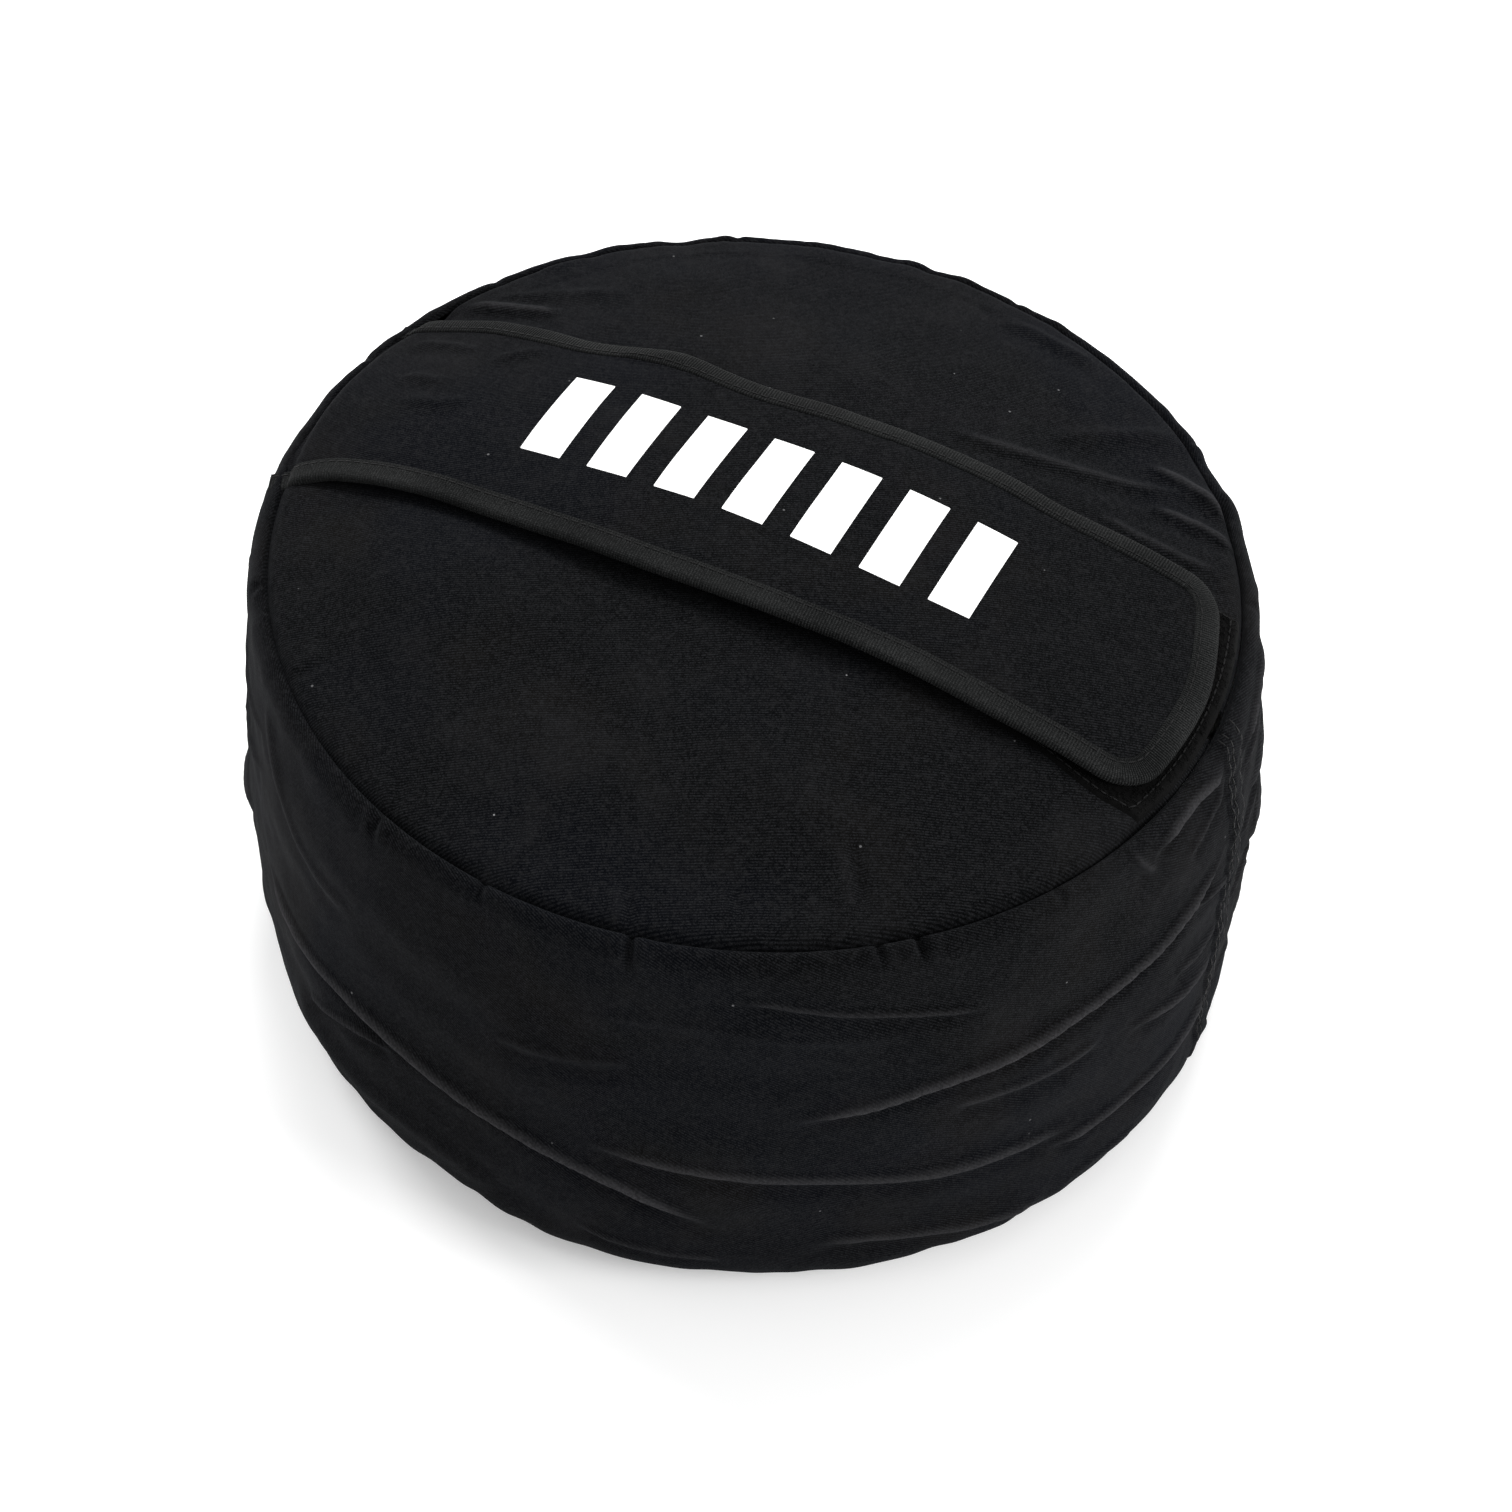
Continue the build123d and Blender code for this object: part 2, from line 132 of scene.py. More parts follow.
class Ripples:
    """A smooth random field of about -1 to 1: plane waves of about one length, in random directions."""

    def __init__(self, seed, length, waves=22, stretch=(1, 1, 1)):
        random = np.random.default_rng(seed)
        ways = random.normal(size=(waves, 3))
        ways /= np.linalg.norm(ways, axis=1)[:, None]
        self.ways = ways / np.array(stretch) * random.uniform(0.6, 1.5, (waves, 1)) * 2 * math.pi / length
        self.phases = random.uniform(0, 2 * math.pi, waves)
        self.scale = 1.0 / math.sqrt(waves)

    def __call__(self, x, y=0.0, z=0.0):
        total = np.zeros(np.broadcast(x, y, z).shape)
        for way, phase in zip(self.ways, self.phases):
            total += np.sin(x * way[0] + y * way[1] + z * way[2] + phase)
        return total * self.scale


def fold_shape(distance, width):
    """Across a fold in cloth: a ridge with a tight crest, and a wider hollow below it."""
    crest = 0.5 * hill(distance, 1.1 * width) + 0.5 * hill(distance, 0.8 * width)
    return crest - 0.6 * hill(distance + 2.2 * width, 1.7 * width)


def fold_line(u, v, start, end, bow, height, width):
    """A fold from start to end, bowed to its left by bow, tapering out at both ends."""
    start, end = np.array(start, float), np.array(end, float)
    length = np.linalg.norm(end - start)
    way = (end - start) / length
    along = ((u - start[0]) * way[0] + (v - start[1]) * way[1]) / length
    across = (v - start[1]) * way[0] - (u - start[0]) * way[1]
    inside = np.clip(along, 0, 1)
    across = across - bow * 4 * inside * (1 - inside)
    taper = smooth(along / 0.25) * smooth((1 - along) / 0.25)
    return height * taper * fold_shape(across, width)


def fold_curve(u, v, points, height, width):
    """A long fold through a few points, left to right, on one smooth curve."""
    at, level = np.array(points, float).T
    middle, half = (at[0] + at[-1]) / 2, (at[-1] - at[0]) / 2
    curve = np.polynomial.Polynomial.fit(at, level, min(4, len(at) - 1))
    reach = np.abs(u - middle) / half
    taper = smooth((1 - reach) / 0.3)
    inside = np.clip(u, at[0], at[-1])
    across = (v - curve(inside)) / np.sqrt(1 + curve.deriv()(inside) ** 2)
    return height * taper * fold_shape(across, width)


# Meshes ------------------------------------------------------


def cells(rows, columns, around, flip=False):
    """Each corner's row and column for every cell of a grid, and the cells' faces as point numbers."""
    across = columns if around else columns - 1
    row, column = np.meshgrid(np.arange(rows - 1), np.arange(across), indexing="ij")
    corners = [(0, 0), (0, 1), (1, 1), (1, 0)]
    if flip:
        corners.reverse()
    places = [(row + a, column + b) for a, b in corners]
    numbers = [down * columns + along % columns for down, along in places]
    return places, np.stack(numbers, -1).reshape(-1, 4)


class Mesher:
    """Collects grids of points in millimetres and makes one mesh of them."""

    def __init__(self):
        self.points, self.faces, self.uvs, self.wears_and_highlights = [], [], [], []
        self.count = 0

    def grid(self, points, uv=None, wear_and_highlight=None, around=False, flip=False):
        """One sheet of quads. uv has one more column than points where the sheet closes on itself."""
        rows, columns = points.shape[:2]
        if uv is None:
            uv = points[..., :2]
            if around:
                uv = np.concatenate([uv, uv[:, :1]], axis=1)
        wear_and_highlight = np.zeros((rows, columns)) if wear_and_highlight is None else wear_and_highlight
        places, faces = cells(rows, columns, around, flip)
        self.faces.append(faces + self.count)
        self.uvs.append(np.stack([uv[place] for place in places], -2).reshape(-1, 2))
        self.points.append(points.reshape(-1, 3))
        self.wears_and_highlights.append(wear_and_highlight.reshape(-1))
        self.count += rows * columns
        return self

    def copies(self, template, origins, axes):
        """Many copies of one closed little grid, each at an origin with its own three axes."""
        rows, columns = template.shape[:2]
        placed = np.einsum("rck,nkj->nrcj", template, axes) + origins[:, None, None, :]
        one = cells(rows, columns, around=True)[1]
        starts = self.count + np.arange(len(origins)) * rows * columns
        faces = one[None] + starts[:, None, None]
        self.faces.append(faces.reshape(-1, 4))
        self.points.append(placed.reshape(-1, 3))
        local = template.reshape(-1, 3)[one.reshape(-1)][:, :2]
        self.uvs.append(np.tile(local, (len(origins), 1)))
        self.wears_and_highlights.append(np.zeros(len(origins) * rows * columns))
        self.count += len(origins) * rows * columns
        return self

    def make(self, name, material, slot, body=None, replaces=()):
        points, faces = np.concatenate(self.points) * MM, np.concatenate(self.faces)
        mesh = bpy.data.meshes.new(name)
        mesh.vertices.add(len(points))
        mesh.vertices.foreach_set("co", points.ravel())
        mesh.loops.add(faces.size)
        mesh.loops.foreach_set("vertex_index", faces.ravel().astype(np.int32))
        mesh.polygons.add(len(faces))
        mesh.polygons.foreach_set("loop_start", np.arange(0, faces.size, 4, dtype=np.int32))
        mesh.polygons.foreach_set("use_smooth", np.ones(len(faces), bool))
        layer = mesh.uv_layers.new(name="Cloth")
        layer.data.foreach_set("uv", np.concatenate(self.uvs).ravel().astype(np.float32))
        # Per-point paleness: rubbed wear, with painted highlight on fold and rib crests.
        wear_and_highlight = mesh.attributes.new("wear_and_highlight", "FLOAT", "POINT")
        wear_and_highlight.data.foreach_set("value", np.concatenate(self.wears_and_highlights).astype(np.float32))
        mesh.update(calc_edges=True)
        mesh.materials.append(material)
        piece = bpy.data.objects.new(name, mesh)
        bpy.context.scene.collection.objects.link(piece)
        if body:
            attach(piece, body)
        if replaces:
            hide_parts(*replaces)
        return piece


def pebble(length, width, thickness, rows=7, columns=8, power=0.8):
    """A closed rounded bar along X, centred on the origin: a stitch, or a zip tooth with a low power."""
    up, round_it = np.meshgrid(np.linspace(-math.pi / 2, math.pi / 2, rows),
                               np.arange(columns) * 2 * math.pi / columns, indexing="ij")

    def shaped(value):
        return np.sign(value) * np.abs(value) ** power

    return np.stack([shaped(np.sin(up)) * length / 2,
                     shaped(np.cos(up)) * shaped(np.cos(round_it)) * width / 2,
                     shaped(np.cos(up)) * shaped(np.sin(round_it)) * thickness / 2], -1)


def wire(path, radius, sides=4):
    """A tube along a few points in the XZ plane."""
    path = np.array(path, float)
    way = np.gradient(path, axis=0)
    way /= np.linalg.norm(way, axis=1)[:, None]
    turn = np.arange(sides) * 2 * math.pi / sides
    side = np.stack([-way[:, 1], way[:, 0]], -1)
    points = np.zeros((len(path), sides, 3))
    points[..., 0] = path[:, None, 0] + side[:, None, 0] * np.cos(turn) * radius
    points[..., 1] = np.sin(turn) * radius
    points[..., 2] = path[:, None, 1] + side[:, None, 1] * np.cos(turn) * radius
    return points


def ring(radius, angle, height):
    """Points at a distance from the middle, an angle in radians and a height."""
    return np.stack(np.broadcast_arrays(radius * np.cos(angle), radius * np.sin(angle), height), -1)


def frames_from(way, up):
    """Axes (X along way, Z near up) for many places."""
    way = way / np.linalg.norm(way, axis=-1, keepdims=True)
    across = np.cross(up, way)
    across /= np.linalg.norm(across, axis=-1, keepdims=True)
    return np.stack([way, across, np.cross(way, across)], -2)


def stitch_row(mesher, points, up, length=2.5, gap=0.75, thick=0.62):
    """Stitches along a line of points; up is the cloth's normal at each."""
    steps = np.linalg.norm(np.diff(points, axis=0), axis=1)
    place = np.concatenate([[0], np.cumsum(steps)])
    starts = np.arange(gap, place[-1] - length, length + gap)

    def at(where, values):
        return np.stack([np.interp(where, place, values[:, k]) for k in range(3)], -1)

    head, tail = at(starts, points), at(starts + length, points)
    axes = frames_from(tail - head, at(starts, up))
    return mesher.copies(pebble(length + 0.3, thick, 0.45), (head + tail) / 2, axes)


# Materials ---------------------------------------------------


class Shader:
    """A material's node graph, with the nodes that the cloths share."""

    def __init__(self, name):
        self.material = bpy.data.materials.new(name)
        self.material.use_nodes = True
        self.tree = self.material.node_tree
        self.tree.nodes.clear()
        self.object = self.add("ShaderNodeTexCoord").outputs["Object"]

    def add(self, kind, inputs=None, **settings):
        node = self.tree.nodes.new(kind)
        for key, value in settings.items():
            setattr(node, key, value)
        for key, value in (inputs or {}).items():
            self.put(node.inputs[key], value)
        return node

    def put(self, socket, value):
        if isinstance(value, bpy.types.NodeSocket):
            self.tree.links.new(value, socket)
        else:
            socket.default_value = value

    def math(self, operation, a, b=0.0):
        return self.add("ShaderNodeMath", {0: a, 1: b}, operation=operation).outputs[0]

    def times(self, a, b):
        return self.math("MULTIPLY", a, b)

    def remap(self, value, low, high, to_low=0.0, to_high=1.0):
        inputs = {"Value": value, "From Min": low, "From Max": high, "To Min": to_low, "To Max": to_high}
        return self.add("ShaderNodeMapRange", inputs, interpolation_type="SMOOTHSTEP").outputs["Result"]

    def noise(self, scale, detail=2.0, roughness=0.5, vector=None):
        """Noise whose blobs are about 1 / scale metres wide."""
        inputs = {"Vector": vector or self.object, "Scale": scale, "Detail": detail, "Roughness": roughness}
        return self.add("ShaderNodeTexNoise", inputs).outputs["Fac"]

    def mix(self, factor, a, b):
        node = self.add("ShaderNodeMix", data_type="RGBA")
        self.put(node.inputs[0], factor)
        for socket, value in ((node.inputs[6], a), (node.inputs[7], b)):
            self.put(socket, value if isinstance(value, bpy.types.NodeSocket) else (*value, 1.0))
        return node.outputs[2]

    def attribute(self, name):
        return self.add("ShaderNodeAttribute", attribute_name=name).outputs["Fac"]

    def cloth_lines(self, pitch, degrees):
        """0 to 1 across threads that far apart, on the cloth's own map, which is in millimetres."""
        place = self.add("ShaderNodeSeparateXYZ", {0: self.add("ShaderNodeUVMap", uv_map="Cloth").outputs[0]})
        turn = 2 * math.pi / pitch
        across = self.times(place.outputs[0], turn * math.cos(math.radians(degrees)))
        along = self.times(place.outputs[1], turn * math.sin(math.radians(degrees)))
        return self.math("MULTIPLY_ADD", self.math("SINE", self.math("ADD", across, along)), 0.5)

    def bump(self, height, distance, strength=1.0, normal=None):
        inputs = {"Height": height, "Distance": distance, "Strength": strength}
        if normal is not None:
            inputs["Normal"] = normal
        return self.add("ShaderNodeBump", inputs).outputs["Normal"]

    def finish(self, **inputs):
        shader = self.add("ShaderNodeBsdfPrincipled")
        for key, value in inputs.items():
            socket = shader.inputs[key.replace("_", " ")]
            if socket.type == "RGBA" and not isinstance(value, bpy.types.NodeSocket):
                value = (*value, 1.0)
            self.put(socket, value)
        self.add("ShaderNodeOutputMaterial", {"Surface": shader.outputs[0]})
        return self.material


def specks(s, colour):
    """Pale lint and a few larger crumbs scattered on dark cloth."""
    for scale, size, share, tone in ((130.0, 0.035, 0.12, 0.16), (42.0, 0.009, 0.25, 0.35)):
        cells = s.add("ShaderNodeTexVoronoi", {"Vector": s.object, "Scale": scale})
        near = s.remap(cells.outputs["Distance"], size, size * 1.8, 1.0, 0.0)
        chosen = s.add("ShaderNodeSeparateColor", {0: cells.outputs["Color"]}).outputs[0]
        kept = s.math("LESS_THAN", chosen, share)
        colour = s.mix(s.times(s.times(near, kept), tone), colour, (0.55, 0.55, 0.56))
    return colour


def canvas_material(name="canvas", lift=1.0):
    """Black cotton twill: diagonal wales, worn ridges that are also painted pale as highlight, blue and brown
    cast, dust and lint.
    """
    s = Shader(name)

    def tone(red, green, blue):
        return tuple(lift * value for value in (red, green, blue))

    cast = s.remap(s.noise(9.0, 3), 0.42, 0.60)
    colour = s.mix(cast, tone(0.0008, 0.0009, 0.0010), tone(0.0009, 0.0012, 0.0021))
    colour = s.mix(s.remap(s.noise(13.0, 4, 0.6), 0.50, 0.68), colour, tone(0.0025, 0.0022, 0.0019))
    dust = s.remap(s.noise(24.0, 8, 0.78), 0.48, 0.72)
    colour = s.mix(s.times(dust, 0.55), colour, tone(0.0082, 0.0080, 0.0083))
    clumps = s.remap(s.noise(520.0, 5, 0.85), 0.48, 0.64)
    colour = s.mix(s.times(clumps, 0.45), colour, tone(0.0125, 0.0125, 0.0130))
    wales = s.cloth_lines(0.85, 118.0)
    yarns = s.cloth_lines(0.46, 30.0)
    fuzz = s.noise(1900.0, 3, 0.75)
    lit_wales = s.times(wales, s.remap(fuzz, 0.40, 0.62, 0.0, 0.95))
    colour = s.mix(lit_wales, colour, tone(0.0135, 0.0140, 0.0155))
    # Fold crests go pale from the wear_and_highlight attribute: partly rubbed wear, partly painted highlight.
    patchy = s.remap(s.noise(1100.0, 3, 0.7), 0.36, 0.62, 0.55, 1.0)
    worn_and_lit_yarn = s.times(s.attribute("wear_and_highlight"), patchy)
    colour = s.mix(worn_and_lit_yarn, colour, (0.058, 0.057, 0.060))
    colour = specks(s, colour)
    normal = s.bump(s.noise(60.0, 5, 0.6), 0.0012, 0.30)
    normal = s.bump(s.math("ADD", wales, s.times(yarns, 0.35)), 0.00008, 0.8, normal)
    normal = s.bump(fuzz, 0.00012, 0.6, normal)
    return s.finish(Base_Color=colour, Roughness=0.9, Specular_IOR_Level=0.02, Normal=normal,
                    Sheen_Weight=0.015, Sheen_Roughness=0.5, Sheen_Tint=(0.85, 0.9, 1.0))


def binding_material():
    """Ribbed grosgrain; the ribs are in the mesh too, and the fine warp in the bump."""
    s = Shader("binding")
    grime = s.remap(s.noise(26.0, 5, 0.6), 0.40, 0.66)
    colour = s.mix(grime, (0.0012, 0.0014, 0.0015), (0.0042, 0.0045, 0.0045))
    ribs = s.cloth_lines(RIB, 0.0)
    warp = s.cloth_lines(0.62, 90.0)
    fuzz = s.noise(1900.0, 3, 0.75)
    raised = s.times(ribs, s.remap(warp, 0.0, 1.0, 0.35, 1.0))
    lit_ribs = s.times(raised, s.remap(fuzz, 0.36, 0.66, 0.15, 0.95))
    colour = s.mix(lit_ribs, colour, (0.028, 0.029, 0.029))
    # Painted highlight on the ribs, with wear along the fold.
    worn_and_lit_ribs = s.times(s.attribute("wear_and_highlight"), s.remap(fuzz, 0.4, 0.6, 0.1, 0.6))
    colour = s.mix(worn_and_lit_ribs, colour, (0.040, 0.041, 0.041))
    colour = specks(s, colour)
    normal = s.bump(s.math("ADD", raised, fuzz), 0.00012, 0.8)
    return s.finish(Base_Color=colour, Roughness=0.8, Specular_IOR_Level=0.04, Normal=normal,
                    Sheen_Weight=0.02, Sheen_Roughness=0.4)


def thread_material(name, tone):
    s = Shader(name)
    twist = s.add("ShaderNodeTexWave", {"Vector": s.object, "Scale": 900.0, "Distortion": 2.0})
    colour = s.mix(twist.outputs["Fac"], (tone, tone, tone * 1.05), (tone * 2.2, tone * 2.2, tone * 2.3))
    return s.finish(Base_Color=colour, Roughness=0.55, Specular_IOR_Level=0.12,
                    Normal=s.bump(twist.outputs["Fac"], 0.00012, 0.6))


def print_material():
    """White screen print: it follows the twill beneath, with pinholes and faint grime."""
    s = Shader("print")
    colour = s.mix(s.remap(s.noise(55.0, 5, 0.65), 0.45, 0.80), (0.86, 0.86, 0.855), (0.74, 0.735, 0.72))
    wales = s.cloth_lines(0.85, 27.0)
    pin = s.remap(s.noise(1500.0, 3, 0.7), 0.66, 0.74)
    colour = s.mix(s.times(pin, 0.75), colour, (0.12, 0.12, 0.13))
    normal = s.bump(s.math("ADD", wales, s.noise(1900.0, 2)), 0.00008, 0.55)
    return s.finish(Base_Color=colour, Roughness=0.62, Specular_IOR_Level=0.35, Normal=normal)


def pile_material(name, tone, roughness):
    s = Shader(name)
    colour = s.mix(s.noise(420.0, 3, 0.7), (tone, tone, tone * 1.06), (tone * 3.2, tone * 3.1, tone * 3.1))
    return s.finish(Base_Color=colour, Roughness=roughness, Specular_IOR_Level=0.06,
                    Sheen_Weight=0.03, Normal=s.bump(s.noise(2600.0, 2), 0.00012, 0.8))


def tape_material():
    """Woven zip tape."""
    s = Shader("zip_tape")
    weave = s.add("ShaderNodeTexChecker", {"Vector": s.object, "Scale": 1400.0}).outputs["Fac"]
    colour = s.mix(weave, (0.0035, 0.0036, 0.0040), (0.0085, 0.0086, 0.0092))
    return s.finish(Base_Color=colour, Roughness=0.8, Specular_IOR_Level=0.06,
                    Normal=s.bump(weave, 0.0001, 0.6))


def plastic_material(name, tone, roughness=0.42):
    s = Shader(name)
    scuffs = s.noise(300.0, 5, 0.7)
    pale = (tone * 1.8, tone * 1.8, tone * 1.8)
    colour = s.mix(s.remap(scuffs, 0.45, 0.75), (tone, tone, tone * 1.04), pale)
    rough = s.remap(scuffs, 0.3, 0.7, roughness - 0.08, roughness + 0.15)
    return s.finish(Base_Color=colour, Roughness=rough, Normal=s.bump(s.noise(900.0, 3), 0.00005, 0.5))


def metal_material():
    """Black-lacquered zip metal, rubbed bright in noisy patches."""
    s = Shader("zip_metal")
    rub = s.remap(s.noise(220.0, 6, 0.75), 0.52, 0.66)
    colour = s.mix(rub, (0.045, 0.045, 0.048), (0.30, 0.29, 0.28))
    rough = s.remap(s.noise(700.0, 4), 0.3, 0.7, 0.28, 0.5)
    return s.finish(Base_Color=colour, Metallic=0.9, Roughness=rough,
                    Normal=s.bump(s.noise(1200.0, 3), 0.00004, 0.5))


def liner_material():
    """Milky polythene film, crinkled."""
    s = Shader("liner")
    crinkle = s.noise(70.0, 8, 0.65)
    colour = s.mix(crinkle, (0.50, 0.51, 0.48), (0.72, 0.73, 0.70))
    return s.finish(Base_Color=colour, Roughness=0.35, Specular_IOR_Level=0.5,
                    Normal=s.bump(crinkle, 0.004, 0.8))


def sand_material():
    s = Shader("sand")
    grains = s.add("ShaderNodeTexVoronoi", {"Vector": s.object, "Scale": 1400.0})
    shade = s.add("ShaderNodeSeparateColor", {0: grains.outputs["Color"]}).outputs[0]
    colour = s.mix(shade, (0.36, 0.26, 0.15), (0.68, 0.56, 0.38))
    return s.finish(Base_Color=colour, Roughness=0.9,
                    Normal=s.bump(grains.outputs["Distance"], 0.0004, 0.9))


CANVAS = canvas_material()
LINING = canvas_material("lining", 0.8)
BINDING = binding_material()
THREAD = thread_material("thread", 0.0032)
PRINT = print_material()
# The loop pile is black, and its tone is set darker still as painted shade of the gap under the flap's near
# corner.
LOOP_PILE_AND_SHADE = pile_material("loop_pile", 0.0005, 0.95)
HOOKS = pile_material("hook_tape", 0.0035, 0.5)
ZIP_TAPE = tape_material()
TEETH = plastic_material("zip_teeth", 0.02)
METAL = metal_material()


# Side wall ---------------------------------------------------

WALL_LUMPS = Ripples(11, 110.0)
WALL_RUMPLES = Ripples(12, 42.0, stretch=(1.6, 1.6, 0.7))
WALL_CREPE = Ripples(13, 13.0)
WALL_CREASES = Ripples(17, 30.0, stretch=(2.2, 2.2, 0.8))
WALL_PATCHES = Ripples(18, 90.0)
PUCKER = Ripples(14, 19.0)
FINE_PUCKER = Ripples(15, 8.5)
GATHER = Ripples(16, 60.0)

# Long folds round the side, each a list of (degrees, height), with its height and width.
WALL_FOLDS = [
    ([(-138, 66), (-124, 71), (-112, 72), (-100, 66), (-88, 62), (-78, 55), (-66, 34)], 3.0, 2.3),
    ([(-124, 44), (-116, 55), (-107, 62)], 1.8, 1.7),
    ([(-130, 33), (-116, 32), (-104, 30), (-92, 25)], 2.2, 7.0),
    ([(-135, 143), (-128, 128), (-121, 116), (-112, 114)], 1.3, 3.6),
    ([(-62, 90), (-45, 100), (-32, 104), (-20, 110), (-8, 115), (-1, 122)], 2.9, 1.9),
    ([(-84, 72), (-72, 70), (-60, 62), (-45, 58), (-36, 53), (-25, 49)], 2.2, 2.4),
    ([(-44, 88), (-34, 87), (-24, 88)], 1.6, 2.2),
    ([(-31, 47), (-21, 44), (-12, 46), (1, 41)], 2.4, 2.0),
    ([(-58, 28), (-46, 25), (-38, 21), (-29, 17)], 1.9, 2.4),
    ([(-84, 27), (-75, 24), (-67, 22)], 1.4, 2.0),
    ([(-67, 142), (-58, 138), (-49, 132), (-39, 127)], 1.6, 1.4),
    ([(-82, 128), (-69, 130), (-58, 126), (-47, 124)], 0.5, 2.0),
    ([(-93, 104), (-86, 107), (-77, 112)], 0.9, 1.9),
    ([(6, 118), (18, 112), (32, 112), (48, 121)], 2.2, 2.1),
    ([(5, 92), (22, 84), (38, 80), (56, 76), (70, 66)], 2.5, 2.2),
    ([(4, 60), (20, 52), (36, 50), (52, 58)], 2.0, 2.2),
    ([(34, 34), (52, 27), (74, 24), (92, 36)], 1.9, 3.0),
    ([(58, 96), (72, 100), (86, 96), (98, 84)], 1.7, 1.8),
    ([(64, 128), (76, 120), (92, 119), (104, 126)], 1.5, 1.8),
    ([(76, 72), (90, 64), (108, 64), (126, 74), (140, 92)], 2.6, 2.3),
    ([(108, 50), (124, 40), (142, 36), (158, 42)], 2.1, 2.4),
    ([(112, 104), (126, 98), (136, 100), (146, 110)], 1.5, 2.0),
    ([(132, 132), (148, 122), (162, 118), (180, 122)], 1.9, 1.9),
    ([(150, 84), (164, 78), (178, 80), (190, 92)], 2.0, 2.1),
    ([(164, 52), (180, 48), (200, 54), (218, 68)], 2.4, 2.4),
    ([(172, 26), (188, 19), (206, 20), (222, 30)], 1.7, 3.2),
    ([(194, 104), (204, 98), (214, 100), (224, 110)], 1.5, 1.9),
    ([(196, 136), (206, 128), (216, 126), (226, 132)], 1.3, 2.0),
]

# Shorter folds that fan out from the side seam: start and end as (degrees, height), bow, height, width.
SEAM_FOLDS = [
    ((-17, 150), (-1, 149), 3.5, 2.6, 1.7),
    ((-20, 157), (-16, 143), -1.0, 1.4, 1.7),
    ((-11, 137), (-1, 143), 0.8, 1.4, 1.6),
    ((-9, 111), (0, 101), 0.6, 1.6, 1.7),
    ((-13, 90), (0, 80), -0.8, 1.4, 1.9),
    ((-21, 84), (0, 65), 1.5, 2.1, 2.0),
    ((-27, 19), (-14, 18), 0.5, 1.4, 2.0),
    ((4, 142), (20, 150), 2.0, 2.2, 1.9),
    ((4, 133), (17, 134), 1.2, 1.5, 1.8),
    ((4, 104), (15, 100), 0.8, 1.4, 1.8),
    ((4, 74), (14, 78), 0.8, 1.3, 1.9),
    ((4, 34), (13, 30), 0.6, 1.3, 1.9),
]

# Tucks in the rim seam, where a dark line runs a little way down the side: (degrees, length, depth).
RIM_TUCKS = [
    (-110, 13, 1.3), (-95.5, 10, 1.4), (-78, 15, 3.0), (-51.5, 9, 2.2), (-47, 11, 3.0), (-30, 9, 1.2),
    (22, 9, 0.5), (49, 11, 0.4), (81, 7, 0.4), (118, 12, 0.4), (150, 8, 0.4), (171, 10, 0.5), (-148, 9, 0.8),
]


def roll_centre(radius, end, side):
    """Centre of an arc that rolls off the belly's long arc and ends at a point."""
    belly = np.array([BELLY_RADIUS - BELLY_CURVE, BELLY_HEIGHT])
    apart = np.array(end) - belly
    distance = np.linalg.norm(apart)
    along = ((BELLY_CURVE - radius) ** 2 - radius**2 + distance**2) / (2 * distance)
    across = math.sqrt((BELLY_CURVE - radius) ** 2 - along**2)
    way = apart / distance
    return belly + way * along + np.array([way[1], -way[0]]) * side * across


def wall_profile(step):
    """The side's upright line, rim's groove to base seam: points, outward normals, run from the rim."""
    belly = np.array([BELLY_RADIUS - BELLY_CURVE, BELLY_HEIGHT])
    shoulder = roll_centre(SHOULDER, (RIM_RADIUS, RIM_HEIGHT), 1)
    skirt = roll_centre(SKIRT, SKIRT_END, -1)

    def bearing(way):
        return math.atan2(way[1], way[0])

    rim_start = math.acos((SEAM_RADIUS - shoulder[0]) / SHOULDER)
    arcs = [(shoulder, SHOULDER, rim_start, bearing(shoulder - belly)),
            (belly, BELLY_CURVE, bearing(shoulder - belly), bearing(skirt - belly)),
            (skirt, SKIRT, bearing(skirt - belly), bearing(np.array(SKIRT_END) - skirt))]
    points, normals = [], []
    for centre, radius, first, last in arcs:
        count = max(3, int(radius * abs(last - first) / step))
        for angle in np.linspace(first, last, count, endpoint=False):
            normals.append((math.cos(angle), math.sin(angle)))
            points.append(centre + radius * np.array(normals[-1]))
    points, normals = np.array(points), np.array(normals)
    run = np.concatenate([[0], np.cumsum(np.linalg.norm(np.diff(points, axis=0), axis=1))])
    # Finer rows beside both seams.
    at_base = run[-1] + np.arange(-4, 0.1, 0.4)
    rows = np.concatenate([np.arange(0, 6, 0.35), np.arange(6, run[-1] - 4, step), at_base])
    rows = np.clip(rows, 0, run[-1])

    def spread(values):
        return np.stack([np.interp(rows, run, values[:, k]) for k in (0, 1)], -1)

    return spread(points), spread(normals), rows


def rim_pucker(degrees, distance):
    """Small gathers where the rim seam draws the cloth in, fading away from it."""
    x, y = RIM_RADIUS * np.cos(np.radians(degrees)), RIM_RADIUS * np.sin(np.radians(degrees))
    strength = 0.55 + 0.45 * GATHER(x, y)
    wide = 0.85 * PUCKER(x, y) * np.exp(-distance / 11.0)
    fine = 0.42 * FINE_PUCKER(x, y) * np.exp(-distance / 4.5)
    return np.clip(strength, 0.15, 1.2) * (wide + fine) * smooth(distance / 1.5)


